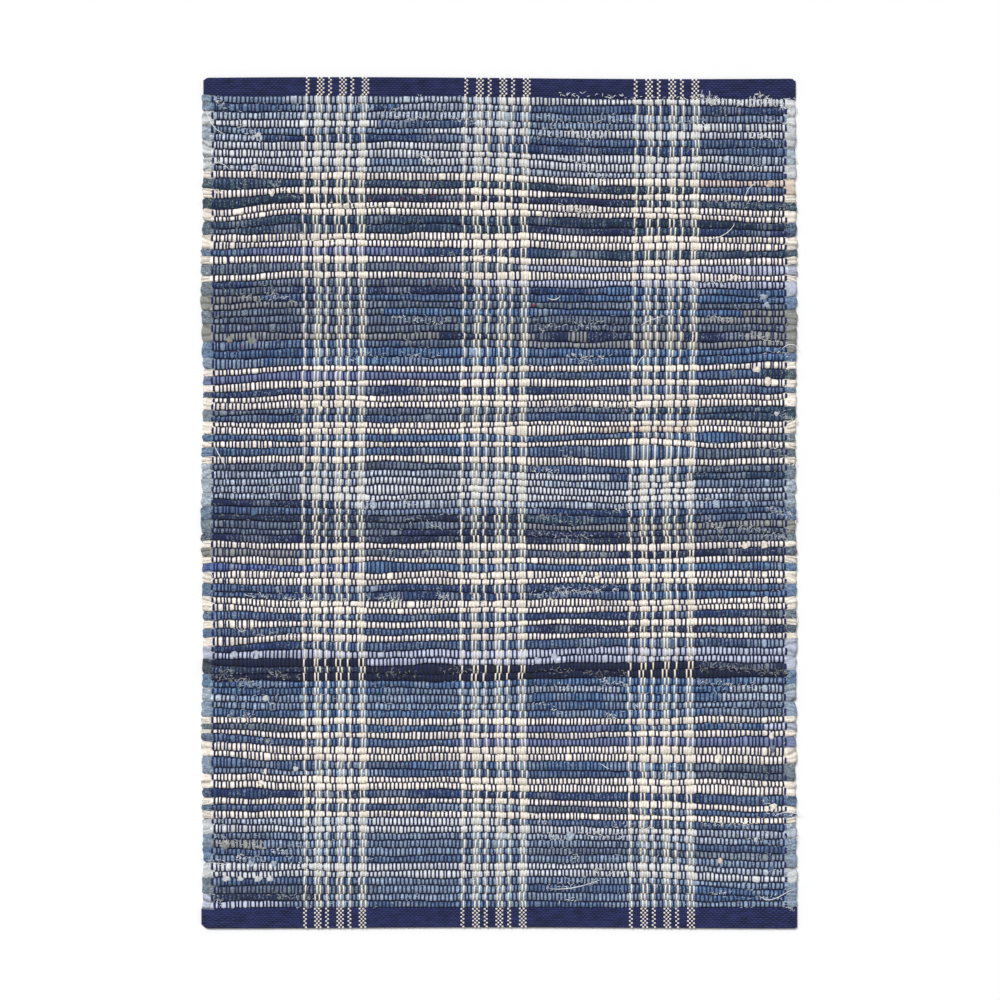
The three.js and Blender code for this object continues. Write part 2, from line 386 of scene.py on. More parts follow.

# A rag's section, from its far edge to its near edge, as shares of its half depth and of its rise, and
# the painted shade across it: dark at both edges where it dips between picks, lighter on its crest.
# The two points inside follow the fold that runs along a rag.
SECTION_PLACES = np.array((-1, -0.78, -0.14, 0.14, 0.78, 1))
SECTION_RISE = np.array((0, 0.8, 1, 1, 0.8, 0))
SECTION_PAINTED_SHADE = np.array((0.2, 0.94, 1.06, 1.06, 0.94, 0.2))
SECTION_FOLD = np.array((0, 0, 1, 1, 0, 0))

# A warp float's shape along it: shares of its half length, of its rise and of its width
FLOAT_PLACES = np.array((-1, -0.66, 0, 0.66, 1))
FLOAT_RISE = np.array((0, 0.83, 1, 0.83, 0))
FLOAT_SPREAD = np.array((1.22, 1.0, 0.95, 1.0, 1.22))

# Below this lightness a rag counts as dark, and this share of a dark rag's blocks is much more worn
DARK_RAG = 0.17
BARE_SHARE = 0.12

# Which rags are woven from denim, and which are bleached or pale
DENIM_RAGS = (
    "faded", "denim", "azure", "cobalt", "indigo", "midnight", "slate", "sky", "teal", "forest",
    "charcoal",
)
PALE_RAGS = ("mist", "sky", "lavender", "faded", "sand", "stone")


def colour_setting(label, red, green, blue, use):
    """A colour that the user may change, given as it shows on a screen, from 0 to 255."""
    return FloatVectorProperty(
        name=label, description=use, subtype="COLOR_GAMMA", size=3, min=0, max=1,
        default=(red / 255, green / 255, blue / 255),
    )


def length_setting(label, size, use):
    """A length that the user may change, given in millimetres."""
    return FloatProperty(name=label, description=use, default=size * MM, min=0, unit="LENGTH", precision=5)


def wave_at(wave, place):
    """The height of a wave at a place: the wave has its height, its length and where it starts."""
    height, length, start = wave
    return height * np.sin(2 * math.pi * (np.asarray(place) / length + start))


class RugSizes(bpy.types.PropertyGroup):
    """Sizes of the warp, the rags and the selvedges."""

    warp_width: length_setting("Warp width", 1.7, "Width of a navy warp end where it floats")
    ecru_width: length_setting("Ecru width", 1.5, "Width of an ecru warp end where it floats")
    rag_gap: length_setting("Gap between rags", 0.85, "Room between two rags where the warp crosses")
    rag_waver: length_setting("Rag waver", 1.3, "How far a rag's edges waver along it")
    end_waver: length_setting("End waver", 0.36, "How far a warp end shifts from one pick to the next")
    loop_reach: length_setting("Loop reach", 12.5, "How far a weft turn stands out past the warp")
    fibre_width: length_setting("Fibre width", 0.7, "Thickness of a frayed thread")
    seed: IntProperty(name="Seed", description="Another number gives other small unevenness", default=11)


class RagColours(bpy.types.PropertyGroup):
    """Colours of the torn rags, as they show in daylight."""

    cream: colour_setting("Cream", 253, 244, 232, "Undyed cotton sheeting")
    sand: colour_setting("Sand", 226, 208, 192, "Undyed cotton, yellowed")
    mist: colour_setting("Mist", 217, 221, 224, "Denim worn nearly white")
    sky: colour_setting("Sky", 191, 203, 218, "Pale worn denim")
    lavender: colour_setting("Lavender", 196, 202, 221, "Pale violet-blue shirting")
    faded: colour_setting("Faded", 147, 167, 192, "Worn mid-blue denim")
    periwinkle: colour_setting("Periwinkle", 126, 137, 174, "Violet-blue shirting")
    denim: colour_setting("Denim", 94, 119, 155, "Mid-blue denim")
    azure: colour_setting("Azure", 92, 128, 171, "Bright mid-blue denim")
    cobalt: colour_setting("Cobalt", 96, 120, 182, "Bright blue drill")
    indigo: colour_setting("Indigo", 52, 76, 118, "Dark denim")
    midnight: colour_setting("Midnight", 42, 51, 84, "Unwashed dark denim")
    teal: colour_setting("Teal", 60, 86, 104, "Green-blue cotton")
    forest: colour_setting("Forest", 38, 60, 72, "Dark green-blue cotton")
    slate: colour_setting("Slate", 115, 128, 142, "Grey-blue worn denim")
    stone: colour_setting("Stone", 152, 154, 151, "Grey-brown cotton")
    charcoal: colour_setting("Charcoal", 50, 58, 74, "Dark grey-blue cotton")
    black: colour_setting("Black", 30, 34, 44, "Near-black cotton")


class YarnColours(bpy.types.PropertyGroup):
    """Colours of the yarns and of the floor, as they show in daylight."""

    navy: colour_setting("Navy", 30, 41, 90, "Warp yarn")
    heading: colour_setting("Heading", 32, 39, 82, "Fine weft of the turned headings")
    ecru: colour_setting("Ecru", 249, 241, 229, "Warp yarn of the plaid stripes")
    red: colour_setting("Red", 165, 40, 55, "Stray fibres of a red rag")
    floor: colour_setting("Floor", 251, 251, 251, "The plain floor")


def linear(shown):
    """A colour as it shows, turned into the light values that a material takes."""
    shown = np.asarray(shown, dtype=float)
    return np.where(shown <= 0.04045, shown / 12.92, ((shown + 0.055) / 1.055) ** 2.4)


# The worn inside of denim, where a strip has twisted over, and the bleached tips of frayed threads
PALE_DENIM = linear((0.78, 0.82, 0.86))
BLEACHED = linear((0.96, 0.965, 0.97))


def eased(share):
    """A share from 0 to 1 that starts and stops gently."""
    share = np.clip(share, 0, 1)
    return share * share * (3 - 2 * share)


def between(places, values, at):
    """Smooth values between the rows of a table, held level past its ends. The places may run down."""
    places = np.asarray(places, dtype=float)
    values = np.asarray(values, dtype=float)
    if places[0] > places[-1]:
        places = places[::-1]
        values = values[::-1]
    at = np.clip(np.asarray(at, dtype=float), places[0], places[-1])
    upper = np.clip(np.searchsorted(places, at, side="right"), 1, len(places) - 1)
    share = eased((at - places[upper - 1]) / (places[upper] - places[upper - 1]))
    low = values[upper - 1]
    high = values[upper]
    while share.ndim < low.ndim:
        share = share[..., None]
    return low + (high - low) * share


def wandering(rng, rows, places, step):
    """Rows of smooth random values from -1 to 1, which turn about once in each step of the places."""
    spots = (places - places.min()) / step
    knots = rng.uniform(-1, 1, (rows, int(spots.max()) + 2))
    whole = spots.astype(int)
    share = eased(spots - whole)
    return knots[:, whole] * (1 - share) + knots[:, whole + 1] * share


def warp_kinds():
    """True for each ecru end and False for each navy one, from the left selvedge."""
    kinds = []
    for block, count in THREADING:
        if block == "plaid":
            kinds += [kind == "ecru" for kind, ends in PLAID for _ in range(ends)]
        else:
            kinds += [False] * count
    return np.array(kinds)


def end_rest_places():
    """Where each warp end lies across before it wanders, with the wide dents opened."""
    starts = np.cumsum([0] + [count for _, count in THREADING])
    edges = np.array(PLAID_EDGES).ravel()
    rest = np.interp(np.arange(ENDS) + 0.5, starts, (-SELVEDGE_END, *edges, SELVEDGE_END))
    opened = rest.copy()
    for place, extra in WIDE_DENTS:
        off = rest - place
        opened += np.sign(off) * extra / 2 * np.exp(-np.abs(off) / DENT_REACH)
    return opened


def pick_bulk(pick):
    """How bulky a pick is: that of each of its rags by its share of the width."""
    joins = (-SELVEDGE_END, *pick[1::2], SELVEDGE_END)
    return np.average([RAG_BULK.get(rag, 1) for rag in pick[::2]], weights=np.diff(joins))


def pick_depths(rng):
    """How deep each pick beats down: its share of its band's depth."""
    depths = []
    for depth, picks in BANDS:
        bulk = np.array([pick_bulk(pick) for pick in picks])
        bulk *= 1 + BEAT_UNEVEN * rng.normal(0, 1, len(picks))
        depths += list(depth * bulk / bulk.sum())
    return np.array(depths)


class Weave:
    """Where every warp end and every pick lies, in millimetres. Rows are picks and columns are ends."""

    # Lengths over which the picks' edges waver, slowly and quickly, the depth of pick for which the
    # waver is set, and the share of it that is left beside a heading
    SLOW_WAVER = 46
    QUICK_WAVER = 9
    USUAL_DEPTH = 7
    HEADING_WAVER = 0.4

    # Lengths along the rug over which an end drifts and over which bunches form, and the least room
    # between two ends
    END_DRIFT = 60
    BUNCH_LENGTH = 260
    LEAST_PITCH = 0.35

    # This many ends at each selvedge are never hidden
    ALWAYS_SEEN = 3

    def __init__(self, sizes):
        self.rng = np.random.default_rng(sizes.seed)
        self.ecru = warp_kinds()
        self.rest = end_rest_places()
        self.edges = self.pick_edges(sizes.rag_waver / MM)
        self.middle = (self.edges[:-1] + self.edges[1:]) / 2
        self.depth = self.edges[:-1] - self.edges[1:]
        picks = np.arange(len(PICKS))[:, None]
        self.over = (picks + np.arange(ENDS)) % 2 == 0
        # Here and there a thick rag closes over an end and hides its float
        hidden = self.rng.random(self.over.shape) < HIDDEN_SHARE
        hidden[:, :self.ALWAYS_SEEN] = False
        hidden[:, -self.ALWAYS_SEEN:] = False
        self.hidden = hidden & self.over & ~self.ecru
        self.across = self.end_lines(sizes.end_waver / MM)

    def swell(self, edges):
        """Pushes the lines apart where a rag is thick, less and less from pick to pick."""
        for pick, across, reach, extra in SWELLS:
            off = np.arange(len(edges))[:, None] - pick - 0.5
            push = extra / 2 * np.exp(-((self.rest - across) / reach) ** 2)
            edges = edges - np.sign(off) * push * np.exp(-(np.abs(off) - 0.5) / SWELL_FADE)
        return edges

    def pick_edges(self, waver):
        """The lines between the picks, from the far heading to the near one."""
        depths = pick_depths(self.rng)
        field = RUG_LENGTH - HEADINGS["far"]["depth"] - HEADINGS["near"]["depth"]
        starts = np.concatenate(([0], np.cumsum(depths))) * field / depths.sum()
        straight = RUG_LENGTH / 2 - HEADINGS["far"]["depth"] - starts
        sag_along = [row[0] for row in SAG]
        sag_rows = between(sag_along, [row[1:] for row in SAG], straight)
        sag = [
            between(SAG_ACROSS, (left, 0, 0, middle, right), self.rest) for left, middle, right in sag_rows
        ]
        room = np.minimum(np.append(depths, depths[-1]), np.insert(depths, 0, depths[0]))[:, None]
        slow = wandering(self.rng, len(straight), self.rest, self.SLOW_WAVER)
        quick = wandering(self.rng, len(straight), self.rest, self.QUICK_WAVER)
        noise = waver * (0.85 * slow + 0.35 * quick) * room / self.USUAL_DEPTH
        noise[[0, -1]] *= self.HEADING_WAVER
        return self.swell(straight[:, None] - np.array(sag) + noise)

    def wander(self, along):
        """How far each end has wandered across, at a place along the rug for each of them."""
        table = between([row[0] for row in PLAID_WANDER], [row[1:] for row in PLAID_WANDER], along)
        left, middle, right = np.moveaxis(table, -1, 0)
        sides = (-RUG_WIDTH / 2, *PLAID_MIDDLES, RUG_WIDTH / 2)
        shift = np.zeros_like(left)
        drifts = (np.zeros_like(left), left, middle, right, np.zeros_like(left))
        for index in range(len(sides) - 1):
            inside = (self.rest >= sides[index]) & (self.rest < sides[index + 1])
            share = eased((self.rest - sides[index]) / (sides[index + 1] - sides[index]))
            shift = np.where(inside, drifts[index] * (1 - share) + drifts[index + 1] * share, shift)
        return shift

    def end_lines(self, waver):
        """Where each end crosses each pick. An end that goes under lies midway between its neighbours."""
        shape = self.middle.shape
        run = self.middle[:, 0].max() - self.middle[:, 0]
        slow = wandering(self.rng, ENDS, run, self.END_DRIFT).T
        quick = np.clip(self.rng.normal(0, 1, shape), -2.2, 2.2)
        side = np.minimum(self.rest - self.rest[0], self.rest[-1] - self.rest)
        bunched = eased(1 - side / BUNCHED_WIDTH) * eased(side / 4)
        bunching = BUNCHED_SHIFT * bunched * wandering(self.rng, ENDS, run, self.BUNCH_LENGTH).T
        across = self.rest + self.wander(self.middle) + waver * (0.6 * slow + quick) + 1.4 * bunching
        across[:, 1:] = np.maximum(across[:, 1:], across[:, :-1] + self.LEAST_PITCH)
        halfway = across.copy()
        halfway[:, 1:-1] = (across[:, :-2] + across[:, 2:]) / 2
        return np.where(self.over, across, halfway)


class RagCloth:
    """The rag at each crossing: its colour, and how much of it is denim."""

    # How far each place where rags change is shifted at most
    JOIN_SHIFT = 8

    # How unevenly denim and other rags are worn along the strip, and from block to block
    WEAR = {"denim": 0.2, "other": 0.05}
    BLOCK_WEAR = {"denim": 0.17, "other": 0.045}

    # Lengths over which wear changes, quickly and slowly, and over which a strip twists
    WEAR_LENGTHS = (17, 60)
    TWIST_LENGTH = 24

    # How much paler the bare blocks of a dark rag are, and how far a twisted strip turns pale
    BARE_GAIN = (0.1, 0.5)
    TWIST_PALENESS = 0.35

    def __init__(self, weave, colours):
        self.rng = np.random.default_rng(weave.rng.integers(1 << 30))
        self.names = list(RagColours.__annotations__)
        palette = linear([getattr(colours, name) for name in self.names])
        self.lightness = palette.mean(axis=1)
        self.kind = self.chart(weave)
        self.denim = np.isin(self.kind, [self.names.index(name) for name in DENIM_RAGS])
        self.own = palette[self.kind]
        self.colour = self.shade(weave, palette)

    def chart(self, weave):
        """The number of the rag at each crossing, from the picks' chart."""
        kind = np.zeros(weave.across.shape, dtype=int)
        for pick, row in enumerate(PICKS):
            rags = [self.names.index(name) for name in row[::2]]
            joins = np.array(row[1::2], dtype=float)
            joins += self.rng.uniform(-self.JOIN_SHIFT, self.JOIN_SHIFT, len(joins))
            joins = np.sort(joins)
            kind[pick] = np.array(rags)[np.searchsorted(joins, weave.across[pick])]
        return kind

    def turns(self, weave, column):
        """Each turn down a selvedge: its far and near edge and its rag. Two picks share a turn unless
        only one of them is cream, and it shows the paler of their rags."""
        kinds = self.kind[:, column]
        cream = self.names.index("cream")
        pick = 0
        while pick < len(kinds):
            pair = kinds[pick:pick + 2]
            shared = len(pair) == 2 and (pair[0] == cream) == (pair[1] == cream)
            count = 2 if shared else 1
            palest = max(kinds[pick:pick + count], key=lambda kind: self.lightness[kind])
            yield weave.edges[pick, column], weave.edges[pick + count, column], self.names[palest]
            pick += count

    def shade(self, weave, palette):
        """Each block's colour: the rag's own, uneven along the strip and from block to block."""
        picks, ends = weave.across.shape
        colour = palette[self.kind]
        quick, slow = (wandering(self.rng, picks, weave.rest, length) for length in self.WEAR_LENGTHS)
        worn = quick * 0.6 + slow * 0.5
        block = self.rng.normal(0, 1, (picks, ends))
        strength = np.where(self.denim, self.WEAR["denim"], self.WEAR["other"])
        uneven = np.where(self.denim, self.BLOCK_WEAR["denim"], self.BLOCK_WEAR["other"])
        factor = 1 + strength * worn + uneven * block
        # The dark rags are the most worn: single blocks of them are much paler than the rest
        dark = palette.mean(axis=1)[self.kind] < DARK_RAG
        bare = self.rng.random((picks, ends)) < BARE_SHARE
        factor += np.where(dark & bare, self.rng.uniform(*self.BARE_GAIN, (picks, ends)), 0)
        # A strip twists now and then, and shows the paler inside of its denim
        twist = eased((wandering(self.rng, picks, weave.rest, self.TWIST_LENGTH) - 0.45) / 0.3)
        turned = twist * self.denim * self.TWIST_PALENESS
        colour = colour * factor[..., None]
        return colour + (PALE_DENIM - colour) * turned[..., None]


class Wire:
    """One output of a node. Python's own operators on it add the nodes that work the sum out."""

    def __init__(self, finish, socket):
        self.finish = finish
        self.socket = socket

    @property
    def many(self):
        """True for a colour or a vector."""
        return self.socket.type in ("VECTOR", "RGBA")

    def __add__(self, other):
        return self.finish.maths("ADD", self, other)

    def __radd__(self, other):
        return self.finish.maths("ADD", other, self)

    def __sub__(self, other):
        return self.finish.maths("SUBTRACT", self, other)

    def __rsub__(self, other):
        return self.finish.maths("SUBTRACT", other, self)

    def __mul__(self, other):
        return self.finish.times(self, other)

    def __rmul__(self, other):
        return self.finish.times(self, other)


class Finish:
    """A material and its one shader, with short ways to add nodes to it."""

    MIX_FACTOR, MIX_FIRST, MIX_SECOND, MIX_RESULT = 0, 6, 7, 2

    def __init__(self, name, roughness, sheen=0.0):
        self.material = bpy.data.materials.new(name)
        self.material.use_nodes = True
        self.tree = self.material.node_tree
        self.tree.nodes.clear()
        self.shader = self.tree.nodes.new("ShaderNodeBsdfPrincipled")
        output = self.tree.nodes.new("ShaderNodeOutputMaterial")
        self.tree.links.new(self.shader.outputs["BSDF"], output.inputs["Surface"])
        self.set("Roughness", roughness)
        self.set("Specular IOR Level", 0.2)
        self.set("Sheen Weight", sheen)
        self.set("Sheen Roughness", 0.6)

    def set(self, name, value):
        """Gives one of the shader's sockets a number, a colour or a wire."""
        self.put(self.shader.inputs[name], value)

    def put(self, socket, value):
        if isinstance(value, Wire):
            self.tree.links.new(value.socket, socket)
        else:
            socket.default_value = value

    def node(self, kind, settings=None, inputs=None, output=0):
        """Adds a node of a kind, sets it up and gives one of its outputs."""
        node = self.tree.nodes.new(kind)
        for name, value in (settings or {}).items():
            setattr(node, name, value)
        for name, value in (inputs or {}).items():
            self.put(node.inputs[name], value)
        return Wire(self, node.outputs[output])

    def maths(self, operation, first, second=0.0):
        many = any(isinstance(value, Wire) and value.many for value in (first, second))
        kind = "ShaderNodeVectorMath" if many else "ShaderNodeMath"
        return self.node(kind, {"operation": operation}, {0: first, 1: second})

    def times(self, wire, other):
        if not wire.many:
            return self.maths("MULTIPLY", wire, other)
        if isinstance(other, tuple) or (isinstance(other, Wire) and other.many):
            return self.maths("MULTIPLY", wire, other)
        return self.node("ShaderNodeVectorMath", {"operation": "SCALE"}, {0: wire, "Scale": other})

    def tinted(self, colour, shade):
        """A fixed colour, brighter and darker with the shade."""
        return self.node("ShaderNodeVectorMath", {"operation": "SCALE"}, {0: tuple(colour), "Scale": shade})

    def mix(self, first, second, share):
        """Blends two colours by a share."""
        inputs = {self.MIX_FACTOR: share, self.MIX_FIRST: first, self.MIX_SECOND: second}
        return self.node("ShaderNodeMix", {"data_type": "RGBA"}, inputs, self.MIX_RESULT)

    def split(self, wire):
        """The three numbers of a vector."""
        node = self.node("ShaderNodeSeparateXYZ", inputs={0: wire}).socket.node
        return [Wire(self, output) for output in node.outputs]

    def step(self, wire, low, high):
        """0 below the low value and 1 above the high one, with a soft step between them."""
        inputs = {"Value": wire, "From Min": low, "From Max": high}
        return self.node("ShaderNodeMapRange", {"interpolation_type": "SMOOTHSTEP"}, inputs)

    def place(self):
        """The place on the rug, in millimetres."""
        return self.node("ShaderNodeTexCoord", output="Object") * (1 / MM)

    def noise(self, place, size, detail=2.0, stretch=(1, 1, 1)):
        """Soft noise whose lumps are about this many millimetres across."""
        inputs = {"Vector": place * stretch, "Scale": 1 / size, "Detail": detail, "Roughness": 0.6}
        return self.node("ShaderNodeTexNoise", {}, inputs)

    def stored(self, name, output="Fac"):
        """A value that the mesh holds for each of its points."""
        return self.node("ShaderNodeAttribute", {"attribute_name": name}, output=output)

    def bump(self, height, depth, strength=1.0):
        """Gives the shader small relief, this many millimetres deep."""
        inputs = {"Height": height, "Strength": strength, "Distance": depth * MM}
        self.set("Normal", self.node("ShaderNodeBump", {}, inputs))


# The space between the ribs of the denim's twill and between the twists of a plied yarn, and the colour of
# the bare threads that show as specks on worn denim
TWILL_PITCH = 1.05
PLY_PITCH = 1.15
BARE_THREAD = (0.36, 0.48, 0.54, 1.0)


def rag_finish(name):
    """Torn cotton rag: threads along the strip and a twill on denim, over its stored colour, which can hold
    painted shade where the rag dips.
    """
    finish = Finish(name, 0.92, 0.12)
    place = finish.place()
    across, along, _ = finish.split(place)
    rag = finish.stored("rag", "Color")
    denim = finish.stored("denim")
    threads = finish.noise(place, 1.3, 3.0, (0.5, 2.0, 1.0))
    mottle = finish.noise(place, 2.4, 2.0)
    lumps = finish.noise(place, 7.0, 1.0)
    diagonal = (across + along * 0.8) * (2 * math.pi / TWILL_PITCH)
    twill = finish.maths("SINE", diagonal + mottle * 4.0)
    grain = ((threads - 0.5) * 2.0 + (mottle - 0.5) * 1.7) * (0.4 + denim * 0.6)
    shade = 1 + grain + (lumps - 0.5) * 0.35
    shade = shade * (1 - denim * (0.5 - twill * 0.5) * 0.2)
    flecks = finish.noise(place, 1.6, 1.5, (1.1, 0.8, 1.0))
    worn = finish.step(finish.noise(place, 10.0, 2.0, (0.6, 1.0, 1.0)), 0.34, 0.6)
    specks = finish.step(flecks, 0.5, 0.6) * denim * worn
    colour = finish.mix(rag * shade, BARE_THREAD, specks * 0.55)
    finish.set("Base Color", colour)
    finish.set("Roughness", 0.86 + threads * 0.12)
    finish.bump(threads + mottle * 0.7 + twill * denim * 0.15, 0.55, 0.9)
    return finish.material


def yarn_finish(name, colour, uneven):
    """Plied cotton yarn: a fine twist across it, with soft fuzz."""
    finish = Finish(name, 0.9, 0.15)
    place = finish.place()
    across, along, _ = finish.split(place)
    fuzz = finish.noise(place, 0.7, 3.0, (1.6, 0.7, 1.0))
    slow = finish.noise(place, 9.0, 1.0)
    twist = finish.maths("SINE", (along - across * 0.9) * (2 * math.pi / PLY_PITCH) + fuzz * 2.0)
    shade = 1 - uneven + (fuzz * 1.1 + slow * 0.5 + twist * 0.12) * uneven
    finish.set("Base Color", finish.tinted(colour, shade))
    finish.set("Roughness", 0.84 + fuzz * 0.12)
    finish.bump(twist * 0.5 + fuzz * 0.7, 0.3, 0.7)
    return finish.material


def heading_finish(name, colour):
    """Fine navy weave: painted light where the ends and picks stand up in turn, and painted shade in the
    lines between the picks.
    """
    finish = Finish(name, 0.9, 0.15)
    place = finish.place()
    end = finish.maths("COSINE", finish.stored("end") * math.pi)
    pick = finish.maths("SINE", finish.stored("pick") * math.pi)
    valley_dip_and_shade = finish.maths("COSINE", finish.stored("pick") * (2 * math.pi))
    streaks = finish.noise(place, 2.2, 2.0, (0.22, 1.5, 1.0))
    blotches = finish.noise(place, 12.0, 1.0)
    # Painted light where a thread stands up at a crossing and painted shade where it dips, and painted shade
    # in the valleys between picks; the streaks and blotches are the yarn's own uneven colour
    crossing = end * pick
    shade = 1 + crossing * 0.55 - valley_dip_and_shade * 0.3 + (streaks - 0.5) * 2.1 + (blotches - 0.5) * 0.9
    finish.set("Base Color", finish.tinted(colour, shade))
    finish.bump(crossing * 0.4 - valley_dip_and_shade * 0.5 + streaks, 0.35, 0.7)
    return finish.material


def back_finish():
    """The weave from below: yarn where it floats and where it crosses, rag between."""
    finish = Finish("cloth_back", 0.93, 0.1)
    place = finish.place()
    threads = finish.noise(place, 1.0, 3.0, (0.5, 2.2, 1.0))
    fuzz = finish.noise(place, 0.8, 2.0)
    rag = finish.stored("rag", "Color") * (0.7 + threads * 0.6)
    yarn = finish.stored("yarn", "Color") * (0.75 + fuzz * 0.5)
    floats = finish.step(finish.stored("float"), 0.5, 0.62)
    crossing = finish.step(finish.stored("valley"), 0.62, 0.8)
    cover = 1 - (1 - floats) * (1 - crossing)
    finish.set("Base Color", finish.mix(rag, yarn, cover))
    finish.set("Roughness", 0.86 + threads * 0.1)
    finish.bump(threads * 0.7 + fuzz * 0.4, 0.4, 0.8)
    return finish.material


def add_piece(name, patches, stored, material, cells, flip=False, body="root"):
    """patches is in millimetres, shaped grids x rows x columns x 3. cells says how many grids lie side
    by side on the piece's flat map. stored gives values or colours for each point.
    """
    count, rows, columns = patches.shape[:3]
    numbers = np.arange(count * rows * columns).reshape(count, rows, columns)
    corners = (numbers[:, :-1, :-1], numbers[:, 1:, :-1], numbers[:, 1:, 1:], numbers[:, :-1, 1:])
    faces = np.stack(corners, axis=-1).reshape(-1, 4)
    if flip:
        faces = faces[:, ::-1]
    mesh = bpy.data.meshes.new(name)
    mesh.from_pydata(patches.reshape(-1, 3) * MM, [], faces)
    mesh.polygons.foreach_set("use_smooth", np.ones(len(faces), dtype=bool))
    for label, values in stored.items():
        if values.shape[-1] == 3 and values.ndim == 4:
            layer = mesh.attributes.new(label, "FLOAT_COLOR", "POINT")
            opaque = np.concatenate((values, np.ones((*values.shape[:-1], 1))), axis=-1)
            layer.data.foreach_set("color", opaque.astype(np.float32).ravel())
        else:
            layer = mesh.attributes.new(label, "FLOAT", "POINT")
            layer.data.foreach_set("value", values.astype(np.float32).ravel())
    lay_flat(mesh, faces, count, rows, columns, cells)
    mesh.materials.append(material)
    mesh.update()
    piece = bpy.data.objects.new(name, mesh)
    bpy.context.scene.collection.objects.link(piece)
    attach(piece, body)
    return piece


# The margin round each cell of the flat map, as a share of the cell
CELL_MARGIN = 0.06


def lay_flat(mesh, faces, count, rows, columns, cells):
    """Lays each grid of points in its own cell of the flat map, with a margin round it."""
    stacked = math.ceil(count / cells)
    number = np.arange(count)
    left = (number % cells)[:, None, None]
    low = (number // cells)[:, None, None]
    column = np.linspace(CELL_MARGIN, 1 - CELL_MARGIN, columns)[None, None, :]
    row = np.linspace(CELL_MARGIN, 1 - CELL_MARGIN, rows)[None, :, None]
    flat = np.stack(np.broadcast_arrays((left + column) / cells, (low + row) / stacked), axis=-1)
    layer = mesh.uv_layers.new(name="OFBake")
    layer.data.foreach_set("uv", flat.reshape(-1, 2)[faces.ravel()].astype(np.float32).ravel())


# How much higher a deeper pick stands, and the depth of one that stands at the nominal height. Then how
# far a rag puffs up and over what length, the length of a fold, how far the fold wanders over the rag
# and over what length, and how far it dips and how much shade is painted into it
LIFT_SHARE = 0.16
LEVEL_PICK = 7.3
LOWEST_LIFT, HIGHEST_LIFT = -0.35, 0.3
PUFF = 0.16
PUFF_LENGTH = 12
FOLD_LENGTH = 34
FOLD_WANDER, FOLD_WANDER_LENGTH = 0.4, 40
FOLD_DIP = 0.3
FOLD_PAINTED_SHADE = 0.22

# A cream rag is fuller, and leaves this share of the gap beside it
CREAM_GAP = 0.6

# Under a float a rag is narrower than in the open and painted darker with shade, and in the open its
# middle is painted lighter, as shares of its own width and brightness
PINCHED, OPEN = 0.9, 1.06
PINCHED_PAINTED_SHADE, OPEN_PAINTED_LIGHT = 0.82, 1.08

# How far the rags run on past the outermost ends, and how far they drop there
RUN_ON = 2.5
RUN_ON_DROP = 0.9


def rag_section(weave, sizes, rng):
    """Every pick's face, as picks x section x ends: its points, and the painted light and shade of each."""
    picks, ends = weave.across.shape
    cream = np.array([row[0] == "cream" for row in PICKS])[:, None]
    half = (weave.depth - sizes.rag_gap / MM * np.where(cream, CREAM_GAP, 1)) / 2
    lift = LIFT_SHARE * (weave.depth.mean(axis=1, keepdims=True) - LEVEL_PICK)
    puff = wandering(rng, picks, weave.rest, PUFF_LENGTH) * PUFF
    lift = np.clip(lift, LOWEST_LIFT, HIGHEST_LIFT)
    crest = WEFT_CREST + lift + puff + rng.normal(0, 0.09, (picks, ends))
    under = weave.over & ~weave.hidden
    crest = np.where(under, WEFT_DENT + puff * 0.4, crest)
    fold = SECTION_FOLD[None, :, None]
    depth = eased(wandering(rng, picks, weave.rest, FOLD_LENGTH) * 0.9 + 0.25)[:, None, :] * fold
    drift = FOLD_WANDER * wandering(rng, picks, weave.rest, FOLD_WANDER_LENGTH)[:, None, :]
    place = SECTION_PLACES[None, :, None] + drift * fold
    # Under a float the rag is pinched, so that each block between two floats has rounded corners
    bulge = np.where(under, PINCHED, OPEN) * (1 + rng.normal(0, 0.05, (picks, ends)))
    shift = rng.normal(0, 0.16, (picks, ends))[:, None, :]
    along = weave.middle[:, None, :] + shift - place * half[:, None, :] * bulge[:, None, :]
    height = WEFT_EDGE + (crest - WEFT_EDGE)[:, None, :] * SECTION_RISE[None, :, None]
    height = height - FOLD_DIP * depth
    across = np.broadcast_to(weave.across[:, None, :], along.shape)
    # Painted shade under the floats, where each block meets them, and painted light in the open
    light = np.where(under, PINCHED_PAINTED_SHADE, OPEN_PAINTED_LIGHT)[:, None, :]
    # Painted shade at the rag's edges, where it dips between picks, and in its fold, times the floats'
    # painted light and shade
    bright = SECTION_PAINTED_SHADE[None, :, None] * (1 - FOLD_PAINTED_SHADE * depth) * light
    return np.stack((across, along, height), axis=-1), bright


def spread_to_sides(points, out, height):
    """Adds a station this far past each outermost end, at the height that height gives for the end's."""
    left = points[..., :1, :].copy()
    right = points[..., -1:, :].copy()
    left[..., 0] -= out
    right[..., 0] += out
    for side in (left, right):
        side[..., 2] = height(side[..., 2])
    return np.concatenate((left, points, right), axis=-2)


def with_sides(values):
    """Repeats the outermost values for the stations past the outermost ends."""
    return np.concatenate((values[..., :1], values, values[..., -1:]), axis=-1)


# A float's sides lie this far under its crest, for a float of the usual width
FLOAT_DROP = 0.42
FLOAT_WIDTH = 1.7


def yarn_floats(across, along, height, width):
    """Short roofs of yarn. Each input holds, for each float, its values at the places along it."""
    side = np.array((-1, 0, 1))
    drop = np.array((FLOAT_DROP, 0, FLOAT_DROP))
    x = across[:, :, None] + side * width[:, :, None] / 2
    y = np.broadcast_to(along[:, :, None], x.shape)
    z = height[:, :, None] - drop * (width[:, :, None] / FLOAT_WIDTH)
    return np.stack((x, y, z), axis=-1)


